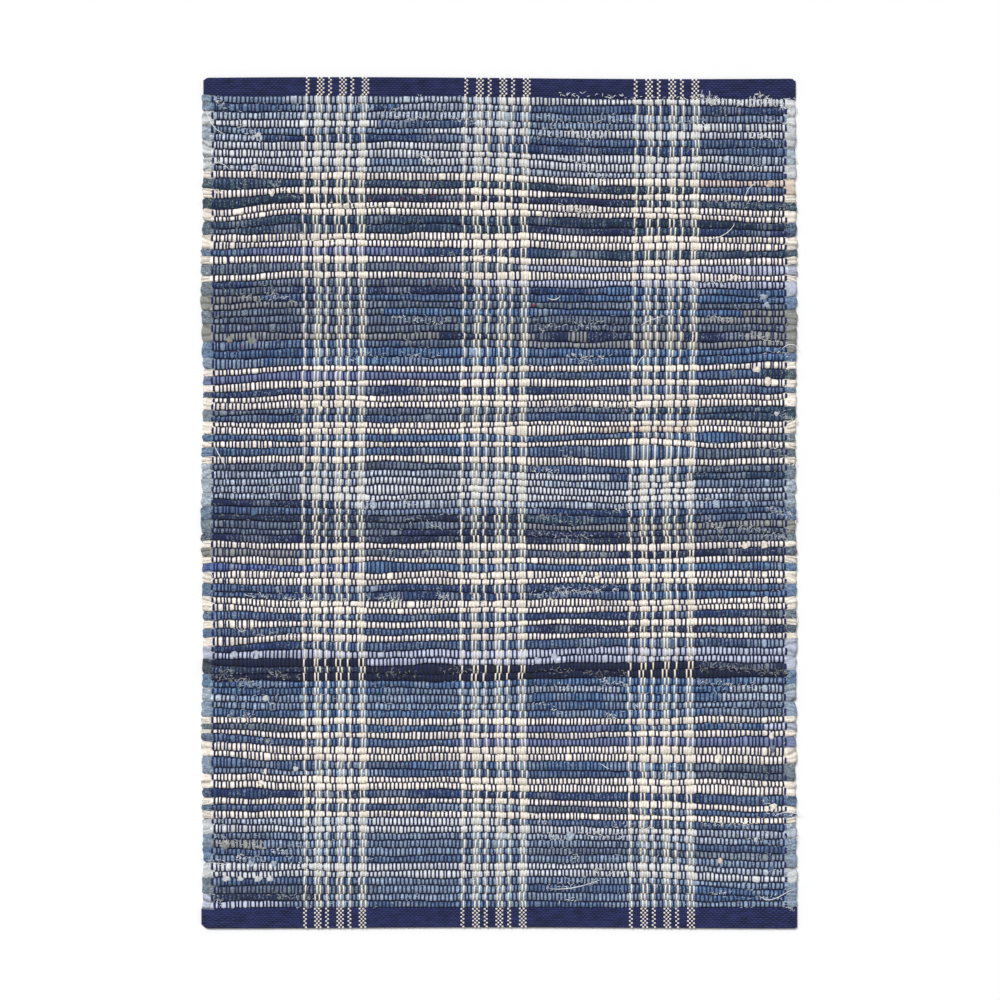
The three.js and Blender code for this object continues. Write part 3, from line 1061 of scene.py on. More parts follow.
class RUG_OT_stage(bpy.types.Operator):
    """Add the camera straight above the rug, the soft lights and the plain floor"""

    bl_idname = "rug.stage"
    bl_label = "Camera, lights and floor"

    # How much of the floor the camera sees across, and where it looks, in metres
    VIEW_WIDTH = 1.0084
    VIEW_MIDDLE = (0.001, 0.003)

    # The camera's lens and sensor, in millimetres
    LENS = 85
    SENSOR = 36

    # The strengths of the even light all round and of the soft light from the upper left, and the soft
    # light's width and tilts in degrees
    SURROUND = 0.38
    SOFTBOX = 2.7
    SOFTBOX_WIDTH = 22
    SOFTBOX_TILTS = (-34, -22)

    # How far the floor reaches each way, and how far it lies under the rug, in metres
    FLOOR_REACH = 6
    FLOOR_DROP = 0.0002

    def execute(self, context):
        scene = context.scene
        lens = bpy.data.cameras.new("camera")
        lens.lens = self.LENS
        lens.sensor_width = self.SENSOR
        camera = bpy.data.objects.new("camera", lens)
        height = self.VIEW_WIDTH * self.LENS / self.SENSOR + WARP_CREST * MM
        camera.location = (*self.VIEW_MIDDLE, height)
        scene.collection.objects.link(camera)
        scene.camera = camera

        scene.view_settings.view_transform = "Standard"
        scene.view_settings.look = "None"
        world = bpy.data.worlds.new("studio")
        world.use_nodes = True
        world.node_tree.nodes["Background"].inputs["Color"].default_value = (1, 1, 1, 1)
        world.node_tree.nodes["Background"].inputs["Strength"].default_value = self.SURROUND
        scene.world = world

        lamp = bpy.data.lights.new("softbox", "SUN")
        lamp.energy = self.SOFTBOX
        lamp.angle = math.radians(self.SOFTBOX_WIDTH)
        softbox = bpy.data.objects.new("softbox", lamp)
        softbox.rotation_euler = (*(math.radians(tilt) for tilt in self.SOFTBOX_TILTS), 0)
        scene.collection.objects.link(softbox)

        mesh = bpy.data.meshes.new("floor")
        signs = ((-1, -1), (1, -1), (1, 1), (-1, 1))
        corners = [(x * self.FLOOR_REACH, y * self.FLOOR_REACH, 0) for x, y in signs]
        mesh.from_pydata(corners, [], [(0, 1, 2, 3)])
        finish = Finish("floor_paper", 0.95)
        finish.set("Base Color", (*linear(scene.yarn_colours.floor), 1.0))
        mesh.materials.append(finish.material)
        floor = bpy.data.objects.new("floor", mesh)
        floor.location.z = -self.FLOOR_DROP
        scene.collection.objects.link(floor)
        return {"FINISHED"}


class RUG_OT_rag_weft(bpy.types.Operator):
    """Add the rag picks of the face, in one piece for each family of rags"""

    bl_idname = "rug.rag_weft"
    bl_label = "Rag weft"

    def execute(self, context):
        weave = Weave(context.scene.rug_sizes)
        cloth = RagCloth(weave, context.scene.rag_colours)
        rng = np.random.default_rng(context.scene.rug_sizes.seed + 1)
        section, bright = rag_section(weave, context.scene.rug_sizes, rng)
        # The rags run on past the outermost ends into their turns
        points = spread_to_sides(section, RUN_ON, lambda height: height - RUN_ON_DROP)
        colour = np.moveaxis(with_sides(np.moveaxis(cloth.colour, -1, 0)), 0, -1)
        # Each rag's own colour takes the painted light and shade of its section
        rag = colour[:, None] * with_sides(bright)[..., None]
        rag = rag * (1 + rng.normal(0, 0.05, (*rag.shape[:3], 1)))
        denim = np.broadcast_to(with_sides(cloth.denim.astype(float))[:, None], rag.shape[:3])
        main = np.array([row[0] for row in PICKS])
        cream = main == "cream"
        pale = np.isin(main, PALE_RAGS)
        families = {"rag_weft_cream": cream, "rag_weft_pale": pale, "rag_weft_denim": ~(cream | pale)}
        finish = rag_finish("torn_rag")
        for name, chosen in families.items():
            stored = {"rag": rag[chosen], "denim": denim[chosen]}
            add_piece(name, points[chosen], stored, finish, 1, flip=True)
        return {"FINISHED"}


class RUG_OT_warp(bpy.types.Operator):
    """Add the warp ends where they float over the picks, and over the heading's fine picks"""

    bl_idname = "rug.warp"
    bl_label = "Warp floats"

    # How far a float's far tip leans across at most, and the length across over which that changes
    LEAN = 0.7
    LEAN_LENGTH = 70

    # How much longer a float is than its pick is deep
    OVERREACH = 1.04

    # How much wider the outermost ends are, which are doubled, and how uneven each yarn's colour is
    DOUBLED = 1.45
    NAVY_UNEVEN = 0.3
    ECRU_UNEVEN = 0.12

    def floats(self, weave, rng, chosen, width):
        """The floats of the chosen crossings: floats x places along x places across x 3."""
        pick, end = np.nonzero(chosen)
        before = np.maximum(pick - 1, 0)
        after = np.minimum(pick + 1, len(PICKS) - 1)
        here = weave.across[pick, end]
        lean = wandering(rng, len(PICKS), weave.rest, self.LEAN_LENGTH)[pick, end] * self.LEAN
        far = (here + weave.across[before, end]) / 2 + lean
        near = (here + weave.across[after, end]) / 2 - lean
        across = np.stack((far, here * 0.8 + far * 0.2, here, here * 0.8 + near * 0.2, near), axis=1)
        half = weave.depth[pick, end][:, None] / 2
        along = weave.middle[pick, end][:, None] - FLOAT_PLACES * half * self.OVERREACH
        crest = WARP_CREST + rng.normal(0, 0.07, len(pick))[:, None]
        height = WARP_DIP + (crest - WARP_DIP) * FLOAT_RISE
        uneven = 1 + rng.normal(0, 0.08, len(pick))[:, None]
        return yarn_floats(across, along, height, width[end][:, None] * FLOAT_SPREAD * uneven)

    def execute(self, context):
        sizes = context.scene.rug_sizes
        weave = Weave(sizes)
        rng = np.random.default_rng(sizes.seed + 2)
        ends = np.arange(ENDS)
        width = np.where(weave.ecru, sizes.ecru_width, sizes.warp_width) / MM
        width[[0, 1, -2, -1]] *= self.DOUBLED
        yarns = context.scene.yarn_colours
        navy = yarn_finish("navy_yarn", linear(yarns.navy), self.NAVY_UNEVEN)
        ecru = yarn_finish("ecru_yarn", linear(yarns.ecru), self.ECRU_UNEVEN)
        sheds = {"navy_warp_odd": ends % 2 == 1, "navy_warp_even": ends % 2 == 0}
        for name, shed in sheds.items():
            points = self.floats(weave, rng, weave.over & ~weave.ecru & ~weave.hidden & shed, width)
            add_piece(name, points, {}, navy, 120, flip=True)
        points = self.floats(weave, rng, weave.over & weave.ecru, width)
        dots = [heading_dots(weave, end, rng) for end in HEADINGS]
        add_piece("ecru_warp", np.concatenate((points, *dots)), {}, ecru, 80, flip=True)
        return {"FINISHED"}


# How far inside a heading's side its outermost end lies, and over what width the ends draw out to it
SIDE_INSET = 0.8
SIDE_PULL = 30

# The ecru floats on a heading: their height, rise and width, and the share of a pick that each covers
DOT_HEIGHT = 3.45
DOT_RISE = 0.5
DOT_WIDTH = 1.75
DOT_SHARE = 0.86


def heading_lines(weave, end):
    """For each end of the warp, its place across in the heading, and the heading's two edges."""
    far = end == "far"
    outward = 1 if far else -1
    spec = HEADINGS[end]
    seam = weave.edges[0] if far else weave.edges[-1]
    left = -RUG_WIDTH / 2 - spec["left"][1] + SIDE_INSET
    right = RUG_WIDTH / 2 + spec["right"][1] - SIDE_INSET
    across = weave.rest + weave.wander(np.full(ENDS, outward * RUG_LENGTH / 2))
    left_pull = eased(1 - (across - across[0]) / SIDE_PULL) ** 1.5
    right_pull = eased(1 - (across[-1] - across) / SIDE_PULL) ** 1.5
    across = across + (left - across[0]) * left_pull + (right - across[-1]) * right_pull
    rim = outward * (RUG_LENGTH / 2 + wave_at(spec["wave"], across))
    for (radius, _), edge in ((spec["left"], left - SIDE_INSET), (spec["right"], right + SIDE_INSET)):
        off = np.clip(radius - np.abs(edge - across), 0, radius)
        rim = rim - outward * (radius - np.sqrt(radius ** 2 - off ** 2))
    return across, seam, rim


def heading_dots(weave, end, rng):
    """The ecru ends where they float over the heading's fine picks."""
    across, seam, rim = heading_lines(weave, end)
    picks = HEADINGS[end]["picks"]
    floats = []
    for pick in range(picks):
        for number in np.nonzero(weave.ecru)[0]:
            if (pick + number) % 2:
                continue
            middle = (pick + 0.5) / picks
            half = 0.5 / picks * DOT_SHARE
            shares = middle + FLOAT_PLACES * half
            along = seam[number] + (rim[number] - seam[number]) * np.clip(shares, 0, 1)
            if end == "far":
                along = along[::-1]
            height = DOT_HEIGHT + FLOAT_RISE * DOT_RISE
            spot = np.full(len(FLOAT_PLACES), across[number]) + rng.normal(0, 0.08)
            floats.append((spot, along, height, np.full(len(FLOAT_PLACES), DOT_WIDTH)))
    across, along, height, width = (np.array(values) for values in zip(*floats))
    return yarn_floats(across, along, height, width)


class RUG_OT_headings(bpy.types.Operator):
    """Add the two turned headings of fine navy weave"""

    bl_idname = "rug.headings"
    bl_label = "Turned headings"

    # Heights of the face, of a thread that floats on it and of the dip between two picks
    FACE = 3.25
    THREAD_RISE = 0.2
    THREAD_DIP = 0.14

    # How far the heading runs in under the first rag, and its height there
    TUCK = 0.6
    TUCK_HEIGHT = 1.9

    # How far the face drops to the seam, and over what width
    SEAM_DROP = 0.9
    SEAM_WIDTH = 1.5

    # How far the fine picks ripple, and over what length
    RIPPLE = 0.25
    RIPPLE_LENGTH = 30

    # The fold at the outer end: how far inside the end it starts, its reach, its middle height and half
    # its thickness, and the angles of its rows
    FOLD_START = 1.4
    FOLD_REACH = 1.5
    FOLD_MIDDLE = 1.65
    FOLD_HALF = 1.6
    FOLD_ANGLES = (0.35, 0.75, 1.15, 1.57, 2.2, 2.9)

    # Heights of the underside at its middle and at the seam
    UNDER_MIDDLE = 0.05
    UNDER_SEAM = 0.3

    # The two sides: how far each stands out, its height, and how much of the face's shape is left there
    SIDE_OUT = 0.9
    SIDE_HEIGHT = 1.6
    SIDE_SHAPE = 0.15

    def side_height(self, height):
        """The height of a side, which keeps little of the face's shape."""
        return self.SIDE_HEIGHT + (height - self.SIDE_HEIGHT) * self.SIDE_SHAPE

    def heading(self, weave, end, rng):
        """One heading as a grid: over its fine picks, round its fold and back underneath."""
        across, seam, rim = heading_lines(weave, end)
        picks = HEADINGS[end]["picks"]
        depth = np.abs(rim - seam)
        ends = np.arange(ENDS)
        level = np.ones(ENDS)
        rows = [(-self.TUCK * level, self.TUCK_HEIGHT * level, 0 * level)]
        ripple = wandering(rng, 2 * picks, weave.rest, self.RIPPLE_LENGTH)
        for step in range(2 * picks):
            pick = (step + 1) / 2
            place = pick / picks * (depth - self.FOLD_START)
            crown = step % 2 == 0
            over = (ends + step // 2) % 2 == 0
            thread = np.where(over, self.THREAD_RISE, 0.0) if crown else -self.THREAD_DIP * level
            height = self.FACE - self.SEAM_DROP * np.exp(-(place / self.SEAM_WIDTH) ** 2) + thread
            rows.append((place + self.RIPPLE * ripple[step], height, pick * level))
        for turn in self.FOLD_ANGLES:
            place = depth - self.FOLD_START + self.FOLD_REACH * math.sin(turn)
            height = self.FOLD_MIDDLE + self.FOLD_HALF * math.cos(turn)
            rows.append((place, height * level, (picks + turn / 2) * level))
        rows.append((depth * 0.5, self.UNDER_MIDDLE * level, picks * 1.5 * level))
        rows.append((0 * level, self.UNDER_SEAM * level, picks * 2.0 * level))
        places, heights, numbers = (np.array(values) for values in zip(*rows))
        heights = heights + rng.normal(0, 0.04, heights.shape)
        outward = 1 if end == "far" else -1
        along = seam + outward * places
        x = np.broadcast_to(across, along.shape)
        points = np.stack((x, along, np.maximum(heights, 0)), axis=-1)
        threads = {"end": with_sides(np.broadcast_to(ends, numbers.shape)), "pick": with_sides(numbers)}
        return spread_to_sides(points, self.SIDE_OUT, self.side_height), threads

    def execute(self, context):
        weave = Weave(context.scene.rug_sizes)
        rng = np.random.default_rng(context.scene.rug_sizes.seed + 3)
        navy = linear(context.scene.yarn_colours.heading)
        for end in HEADINGS:
            finish = heading_finish(f"navy_{end}", navy * HEADINGS[end]["light"])
            points, threads = self.heading(weave, end, rng)
            stored = {name: values[None] for name, values in threads.items()}
            add_piece(f"heading_{end}", points[None], stored, finish, 1, flip=end == "near")
        return {"FINISHED"}


class RUG_OT_selvedges(bpy.types.Operator):
    """Add the turns of the rag weft down both selvedges"""

    bl_idname = "rug.selvedges"
    bl_label = "Selvedge turns"

    TURN_ROWS = 21
    TURN_COLUMNS = 15

    # Shares of the way round a turn: where the top ends, how much the rim takes, and where the underside
    # starts
    TOP_END = 0.4
    RIM_SPAN = 0.2
    UNDER_START = 0.6

    # The rim's radius, the height of the turn's middle, how far its crest and its edges rise from that,
    # and the lowest and highest that any of it lies
    RIM = 1.3
    MIDDLE = 2.55
    CREST = 2.0
    EDGE_RISE = 0.2
    LOWEST, HIGHEST = 0.03, 5.6

    # How deep a crease is and how much shade is painted in it, and how much shade is painted on the two
    # edges of the turn, where it dips against its neighbours
    CREASE_DEPTH = 0.6
    CREASE_PAINTED_SHADE = 0.52
    EDGE_PAINTED_SHADE = 0.6

    # How much deeper a turn is than its picks, how far it slants, how unevenly light the turns are, and
    # how far a denim one turns pale at most
    FULLNESS = 1.1
    SLANT = 0.9
    LIGHT_UNEVEN = 0.05
    MOST_PALE = 0.2

    def turn(self, rng, side, far, near, reach):
        """One turn: from the warp over its crest, round its rim and back underneath. Gives its points
        and the painted shade of each."""
        middle = (far + near) / 2
        half = (far - near) / 2
        v = np.linspace(-1, 1, self.TURN_ROWS)[:, None]
        u = np.linspace(0, 1, self.TURN_COLUMNS)[None, :]
        angle = np.clip((u - self.TOP_END) / self.RIM_SPAN, 0, 1) * math.pi
        under = np.where(u > self.UNDER_START, (1 - u) / self.TOP_END, 1)
        run = np.where(u < self.TOP_END, u / self.TOP_END, under)
        full = np.clip(1 - np.abs(v) ** 5, 0, 1) ** 0.5
        wobble = 0.45 * np.sin(v * rng.uniform(2, 5) + rng.uniform(0, 6)) + rng.normal(0, 0.4) * v
        length = reach * (0.87 + 0.13 * full) + rng.normal(0, 0.4) + wobble
        out = run * (length - self.RIM) + self.RIM * np.sin(angle) * full
        crest = self.CREST + rng.normal(0, 0.12)
        body = 0.55 + 0.45 * np.sin(np.clip(run * 1.3, 0, 1) * math.pi / 2)
        swell = (crest * full + self.EDGE_RISE) * body
        rounding = (u >= self.TOP_END) & (u <= self.UNDER_START)
        lift = np.where(u <= 0.5, 1, -1) * np.where(rounding, np.abs(np.cos(angle)), 1)
        # Creases fan out from where the warp pinches the rag, bent to one side
        fan = v / (0.5 + 0.5 * run) + rng.normal(0, 0.35) * run ** 2 + rng.uniform(-0.6, 0.6)
        folds = rng.uniform(3.2, 6.5)
        sweep = rng.normal(0, 0.8) * run
        wide = (0.5 + 0.5 * np.cos(fan * folds + sweep)) ** 3
        fine = (0.5 + 0.5 * np.cos(fan * folds * 2.3 + rng.uniform(0, 6) - sweep)) ** 4
        crease = np.where(u <= 0.55, wide * rng.uniform(0.25, 1.1) + fine * rng.uniform(0.2, 0.8), 0)
        height = self.MIDDLE + lift * swell - crease * self.CREASE_DEPTH * full
        slant = rng.normal(0, self.SLANT)
        along = middle - v * half * self.FULLNESS + slant * run ** 1.5
        wave = SELVEDGE_WAVES["left" if side < 0 else "right"]
        start = RUG_WIDTH / 2 - reach + wave_at(wave, middle)
        height = np.clip(height, self.LOWEST, self.HIGHEST)
        points = np.broadcast_arrays(side * (start + out), along, height)
        # Painted shade: darker in the creases, at both edges where the turn dips against its neighbours, and
        # where it leaves the warp
        shade = 1.0 - self.CREASE_PAINTED_SHADE * np.clip(crease, 0, 1.2)
        shade = shade * (1 - self.EDGE_PAINTED_SHADE * np.abs(v) ** 6) * (0.8 + 0.2 * eased(run * 3))
        return np.stack(points, axis=-1), np.broadcast_to(shade, points[0].shape)

    def execute(self, context):
        sizes = context.scene.rug_sizes
        colours = context.scene.rag_colours
        finish = rag_finish("selvedge_rag")
        weave = Weave(sizes)
        cloth = RagCloth(weave, colours)
        for name, side in (("left", -1), ("right", 1)):
            rng = np.random.default_rng(sizes.seed + 5 + side)
            grids, rags, denims = [], [], []
            column = 0 if side < 0 else -1
            for far, near, rag in cloth.turns(weave, column):
                points, shade = self.turn(rng, side, far, near, sizes.loop_reach / MM)
                denim = rag in DENIM_RAGS
                colour = linear(getattr(colours, rag)) * (1 + rng.normal(0, self.LIGHT_UNEVEN))
                if denim:
                    colour = colour + (PALE_DENIM - colour) * rng.uniform(0, self.MOST_PALE)
                grids.append(points)
                # The turn's colour with its painted shade
                rags.append(colour * shade[..., None])
                denims.append(np.full(shade.shape, float(denim)))
            stored = {"rag": np.array(rags), "denim": np.array(denims)}
            add_piece(f"selvedge_{name}", np.array(grids), stored, finish, 6, flip=side > 0)
        return {"FINISHED"}


class RUG_OT_frays(bpy.types.Operator):
    """Add the frayed threads along the torn rags, and the loose ones"""

    bl_idname = "rug.frays"
    bl_label = "Frayed threads"

    POINTS = 7
    SURFACE = 5.15

    # How much higher a long loose thread lies, how far any thread dips at its tips, how far a thread's
    # sides lie under its crest, and over what width the threads drop towards the selvedges, and how far
    LOOSE_LIFT = 0.15
    TIP_DIP = 0.3
    SIDE_DROP = 0.3
    DROP_WIDTH = 9
    SELVEDGE_DROP = 1.4

    # Torn edges: the length over which fraying comes and goes, the level above which an edge frays, how
    # many frayed ends there are to a thread, and the places across a pick where the threads start
    FRAY_LENGTH = 30
    FRAY_LEVEL = 0.2
    ENDS_PER_FRAY = 3
    TORN_PLACES = (-0.45, 0.45, 0.1)

    # The share of each frayed run's threads that is made, and the fuzz of the turns: how many threads a
    # side, how far inside the side they start and how far under the other threads they lie
    RUN_SHARE = 0.75
    FUZZ_A_SIDE = 150
    FUZZ_INSETS = (12, 3)
    FUZZ_DROP = 0.3

    def rag_at(self, weave, cloth, across, along):
        """The colour of the rag nearest to a place."""
        end = int(np.argmin(np.abs(weave.rest - across)))
        pick = int(np.argmin(np.abs(weave.middle[:, end] - along)))
        return cloth.own[pick, end]

    def thread(self, path, width):
        """One thread as a low roof that tapers to its tips: places along it x 3 across x 3."""
        share = np.linspace(0, 1, len(path))
        ahead = np.gradient(path, axis=0) * (1, 1, 0)
        ahead /= np.linalg.norm(ahead, axis=1, keepdims=True)
        side = np.cross((0, 0, 1), ahead)
        half = width / 2 * np.sin(np.clip(share, 0.04, 0.96) * math.pi) ** 0.4
        across = np.array((-1, 0, 1))[None, :, None] * side[:, None] * half[:, None, None]
        drop = np.array((self.SIDE_DROP, 0, self.SIDE_DROP))[None, :, None] * np.array((0, 0, 1)) * width
        return path[:, None] + across - drop

    def curl(self, rng, start, heading, length, bend, lift):
        """The path of a short thread that curls over the cloth."""
        share = np.linspace(0, 1, self.POINTS)
        angle = heading + bend * share + 0.3 * np.sin(share * 5 + rng.uniform(0, 6))
        step = length / (self.POINTS - 1)
        x = start[0] + np.concatenate(([0], np.cumsum(np.cos(angle[:-1])))) * step
        y = start[1] + np.concatenate(([0], np.cumsum(np.sin(angle[:-1])))) * step
        limit = RUG_WIDTH / 2 + 1
        arch = np.sin(share * math.pi)
        z = self.SURFACE + lift * arch - self.TIP_DIP * (1 - arch)
        drop = eased((np.abs(x) - limit + self.DROP_WIDTH) / self.DROP_WIDTH) * self.SELVEDGE_DROP
        return np.stack((np.clip(x, -limit, limit), y, z - drop), axis=1)

    def short(self, rng, start, heading, lengths, bend, lift):
        """The path of a short thread, whose length, bend and lift are drawn at random."""
        length = rng.uniform(*lengths)
        turn = rng.normal(0, bend)
        return self.curl(rng, start, heading, length, turn, rng.uniform(0, lift))

    def loose(self, rng, places):
        """The path of a long thread through the given places, in as many points as a short one."""
        places = np.array(places, dtype=float)
        share = np.linspace(0, len(places) - 1, self.POINTS)
        known = np.arange(len(places))
        fit = np.polyfit(known, places, min(3, len(places) - 1))
        flat = np.stack([np.polyval(fit[:, axis], share) for axis in (0, 1)], axis=1)
        z = self.SURFACE + self.LOOSE_LIFT + rng.normal(0, 0.12, (self.POINTS, 1))
        return np.concatenate((flat, z), axis=1)

    # Each of these gives its threads one by one: the path, the thickness as a share of the usual one,
    # the colour, and how far that turns white

    def torn_edges(self, rng, weave, cloth):
        """A few threads loose along the torn edges of every denim pick."""
        for pick in range(len(PICKS)):
            frayed = wandering(rng, 1, weave.rest, self.FRAY_LENGTH)[0] > self.FRAY_LEVEL
            spots = np.nonzero(cloth.denim[pick] & frayed)[0]
            for _ in range(len(spots) // self.ENDS_PER_FRAY):
                end = rng.choice(spots)
                edge = rng.choice(self.TORN_PLACES)
                start = (weave.across[pick, end], weave.middle[pick, end] + edge * weave.depth[pick, end])
                heading = rng.choice((0, math.pi)) + rng.normal(0, 0.5)
                path = self.short(rng, start, heading, (1.5, 4.5), 1.6, 0.4)
                yield path, rng.uniform(0.5, 0.85), cloth.own[pick, end], rng.uniform(0.05, 0.5)

    def frayed_runs(self, rng, weave, cloth):
        """The threads of each frayed run."""
        for left, right, first, last, count, bright in FRAYED_EDGES:
            for share in rng.random(int(count * self.RUN_SHARE)):
                across = left + (right - left) * share + rng.normal(0, 2)
                along = first + (last - first) * share + rng.normal(0, 1.9)
                colour = self.rag_at(weave, cloth, across, along)
                heading = rng.choice((0, math.pi)) + rng.normal(0, 0.7)
                path = self.short(rng, (across, along), heading, (1.5, 5), 1.5, 0.5)
                shine = np.clip(bright * rng.uniform(0.5, 1.2), 0.1, 1)
                yield path, rng.uniform(0.4, 1.0), colour, shine

    def loose_threads(self, rng):
        """The long loose threads."""
        for places in LOOSE_THREADS:
            yield self.loose(rng, places), 1, BLEACHED, 1

    def stray_fibres(self, rng, red):
        """The stray fibres of the red rag."""
        for across, along, length in STRAY_FIBRES:
            yield self.curl(rng, (across, along), rng.uniform(0, 6), length, 0.5, 0.3), 1.5, red, 0

    def turn_fuzz(self, rng, weave, cloth):
        """The fuzz of fibres that stands out of the turns."""
        for side in (-1, 1):
            for _ in range(self.FUZZ_A_SIDE):
                along = rng.uniform(weave.edges[-1].mean(), weave.edges[0].mean())
                colour = self.rag_at(weave, cloth, side * RUG_WIDTH / 2, along)
                start = (side * rng.uniform(*(RUG_WIDTH / 2 - inset for inset in self.FUZZ_INSETS)), along)
                heading = (0 if side > 0 else math.pi) + rng.normal(0, 0.8)
                path = self.short(rng, start, heading, (2, 5), 1.6, 0.3)
                path[:, 2] -= self.FUZZ_DROP
                yield path, rng.uniform(0.5, 0.8), colour, rng.uniform(0.2, 0.8)

    def execute(self, context):
        sizes = context.scene.rug_sizes
        weave = Weave(sizes)
        cloth = RagCloth(weave, context.scene.rag_colours)
        rng = np.random.default_rng(sizes.seed + 9)
        width = sizes.fibre_width / MM
        sources = (
            self.torn_edges(rng, weave, cloth),
            self.frayed_runs(rng, weave, cloth),
            self.loose_threads(rng),
            self.stray_fibres(rng, linear(context.scene.yarn_colours.red)),
            self.turn_fuzz(rng, weave, cloth),
        )
        grids, rags = [], []
        for path, share, colour, bright in itertools.chain.from_iterable(sources):
            grids.append(self.thread(path, width * share))
            mixed = colour + (BLEACHED - colour) * bright
            rags.append(np.broadcast_to(mixed, (self.POINTS, 3, 3)))
        stored = {"rag": np.array(rags), "denim": np.zeros((len(rags), self.POINTS, 3))}
        add_piece("frayed_threads", np.array(grids), stored, rag_finish("frayed_thread"), 60)
        return {"FINISHED"}


class RUG_OT_lumps(bpy.types.Operator):
    """Add the lumps where the ends and folds of rags stand through the warp"""

    bl_idname = "rug.lumps"
    bl_label = "Rag lumps"

    POINTS = 13

    # The height of a lump's foot, how far it rises from there and how deep its creases are. Then its painted
    # shade: how bright it is painted in a crease, how much brighter out of it, and how dark its rim is
    # painted
    FOOT = 3.8
    RISE = 1.25
    CREASE_DEPTH = 0.45
    LUMP_CREASE_PAINTED_SHADE = 0.6
    LUMP_RIDGE_PAINTED_LIGHT = 0.32
    EDGE_PAINTED_SHADE = 0.4

    def execute(self, context):
        rng = np.random.default_rng(context.scene.rug_sizes.seed + 13)
        colours = context.scene.rag_colours
        a, b = np.meshgrid(np.linspace(-1, 1, self.POINTS), np.linspace(-1, 1, self.POINTS))
        # A square grid drawn in to a round one
        u = a * np.sqrt(1 - b * b / 2)
        v = b * np.sqrt(1 - a * a / 2)
        out = np.clip(u * u + v * v, 0, 1)
        grids, rags, denims = [], [], []
        for across, along, width, length, turned, rag in LUMPS:
            angle = math.radians(turned + rng.normal(0, 6))
            around = np.arctan2(v, u)
            edge = 1 + 0.1 * np.sin(3 * around + rng.uniform(0, 6))
            edge = edge + 0.08 * np.sin(5 * around + rng.uniform(0, 6))
            x = u * width / 2 * edge
            y = v * length / 2 * edge
            ridges = u * rng.uniform(1.5, 3) + v * rng.normal(0, 1.2) + rng.uniform(0, 6)
            crease = np.abs(np.sin(ridges)) ** 0.6
            height = self.FOOT + self.RISE * (1 - out ** 3) ** 0.6 - self.CREASE_DEPTH * (1 - crease)
            place = (across + x * math.cos(angle) - y * math.sin(angle),
                     along + x * math.sin(angle) + y * math.cos(angle), height)
            grids.append(np.stack(place, axis=-1))
            # Painted shade: darker in the creases and at the rim, where the lump sinks into the weave
            shade = self.LUMP_CREASE_PAINTED_SHADE + self.LUMP_RIDGE_PAINTED_LIGHT * crease
            shade = shade * (1 - self.EDGE_PAINTED_SHADE * out ** 5)
            rags.append(linear(getattr(colours, rag)) * shade[..., None])
            denims.append(np.full(u.shape, float(rag in DENIM_RAGS)))
        stored = {"rag": np.array(rags), "denim": np.array(denims)}
        add_piece("rag_lumps", np.array(grids), stored, rag_finish("rag_lump"), 8)
        return {"FINISHED"}


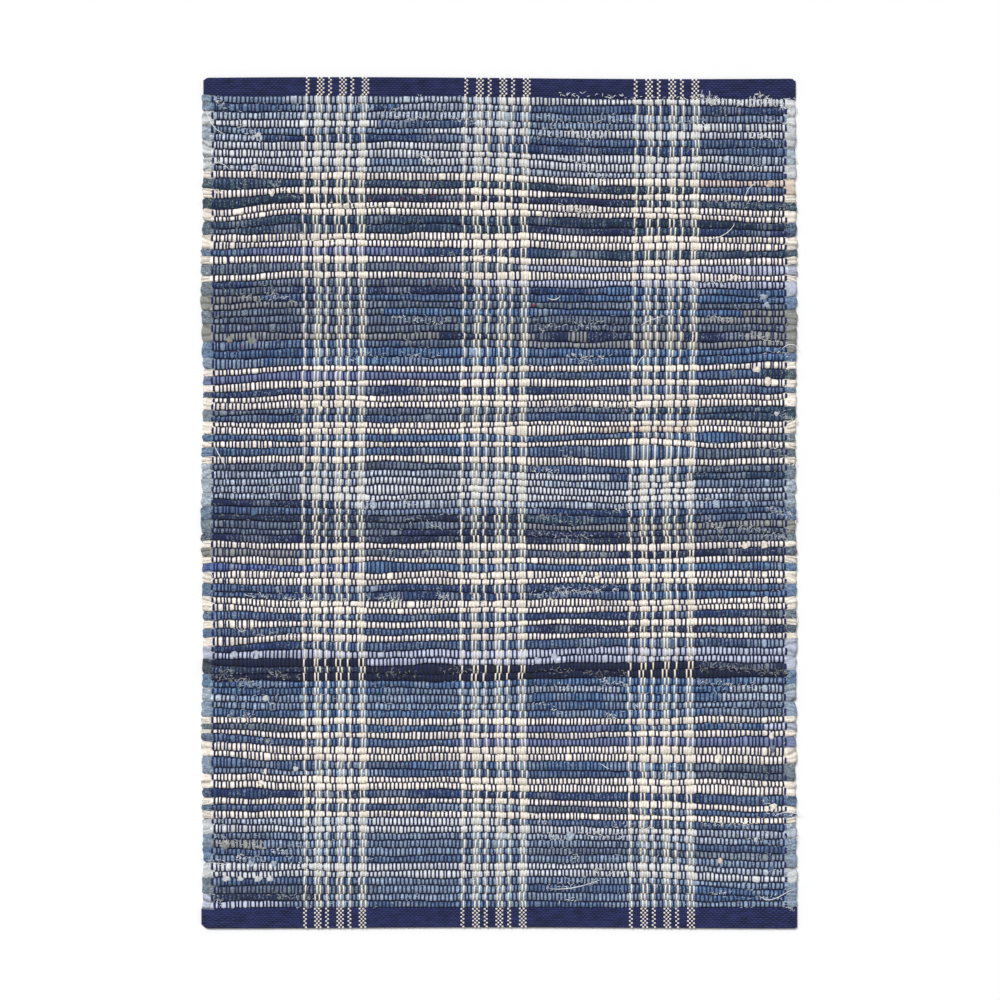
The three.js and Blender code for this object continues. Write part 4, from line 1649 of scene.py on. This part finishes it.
class RUG_OT_back(bpy.types.Operator):
    bl_idname = "rug.back"
    bl_label = "Back of the cloth"

    # Each pick has a row at its far edge and one at its middle
    ROW_PLACES = (-1, 0)

    # Heights of a rag, of a float and of the valley between two picks, seen from below
    RAG = 0.35
    FLOAT = 0.05
    VALLEY = 1.7

    def execute(self, context):
        scene = context.scene
        weave = Weave(scene.rug_sizes)
        cloth = RagCloth(weave, scene.rag_colours)
        navy = linear(scene.yarn_colours.navy)
        ecru = linear(scene.yarn_colours.ecru)
        yarn = np.where(weave.ecru[:, None], ecru, navy)
        rows, rags, overs, valleys = [], [], [], []
        for pick in range(len(PICKS)):
            for place in self.ROW_PLACES:
                valley = place == -1
                height = np.where(weave.over[pick], self.RAG, self.FLOAT)
                height = np.full(ENDS, self.VALLEY) if valley else height
                along = weave.middle[pick] - place * weave.depth[pick] / 2
                rows.append(np.stack((weave.across[pick], along, height), axis=-1))
                rags.append(cloth.colour[pick])
                overs.append(np.full(ENDS, 0.5) if valley else np.where(weave.over[pick], 0.0, 1.0))
                valleys.append(np.full(ENDS, 1.0 if valley else 0.0))
        rows.append(np.stack((weave.across[-1], weave.edges[-1], np.full(ENDS, self.VALLEY)), axis=-1))
        rags.append(rags[-1])
        overs.append(np.full(ENDS, 0.5))
        valleys.append(np.full(ENDS, 1.0))
        shape = (1, len(rows), ENDS)
        stored = {
            "rag": np.array(rags).reshape(*shape, 3),
            "yarn": np.broadcast_to(yarn, (*shape, 3)),
            "float": np.array(overs).reshape(shape),
            "valley": np.array(valleys).reshape(shape),
        }
        back = add_piece("cloth_back", np.array(rows)[None], stored, back_finish(), 1)
        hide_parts("rug")
        return {"FINISHED"}


def place_operators():
    """The operators in the order that they run."""
    return (RUG_OT_stage, RUG_OT_rag_weft, RUG_OT_warp, RUG_OT_headings, RUG_OT_selvedges,
            RUG_OT_frays, RUG_OT_lumps, RUG_OT_back)


class RUG_PT_panel(bpy.types.Panel):
    """Lists the rug's pieces in the sidebar of the 3D view."""

    bl_idname = "RUG_PT_panel"
    bl_label = "Rag rug"
    bl_space_type = "VIEW_3D"
    bl_region_type = "UI"
    bl_category = "Rag rug"

    def draw(self, context):
        for settings in (context.scene.rug_sizes, context.scene.rag_colours, context.scene.yarn_colours):
            box = self.layout.box()
            for name in settings.__annotations__:
                box.prop(settings, name)
        for operator in place_operators():
            self.layout.operator(operator.bl_idname)


SETTINGS = {"rug_sizes": RugSizes, "rag_colours": RagColours, "yarn_colours": YarnColours}


def register():
    for group in SETTINGS.values():
        bpy.utils.register_class(group)
    for operator in place_operators():
        bpy.utils.register_class(operator)
    bpy.utils.register_class(RUG_PT_panel)
    for name, group in SETTINGS.items():
        setattr(bpy.types.Scene, name, PointerProperty(type=group))


def unregister():
    for name in SETTINGS:
        delattr(bpy.types.Scene, name)
    bpy.utils.unregister_class(RUG_PT_panel)
    for operator in reversed(place_operators()):
        bpy.utils.unregister_class(operator)
    for group in reversed(SETTINGS.values()):
        bpy.utils.unregister_class(group)


def main():
    register()
    bpy.ops.rug.stage()
    bpy.ops.rug.rag_weft()
    bpy.ops.rug.warp()
    bpy.ops.rug.headings()
    bpy.ops.rug.selvedges()
    bpy.ops.rug.frays()
    bpy.ops.rug.lumps()
    bpy.ops.rug.back()
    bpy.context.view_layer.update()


if __name__ == "__main__":
    main()
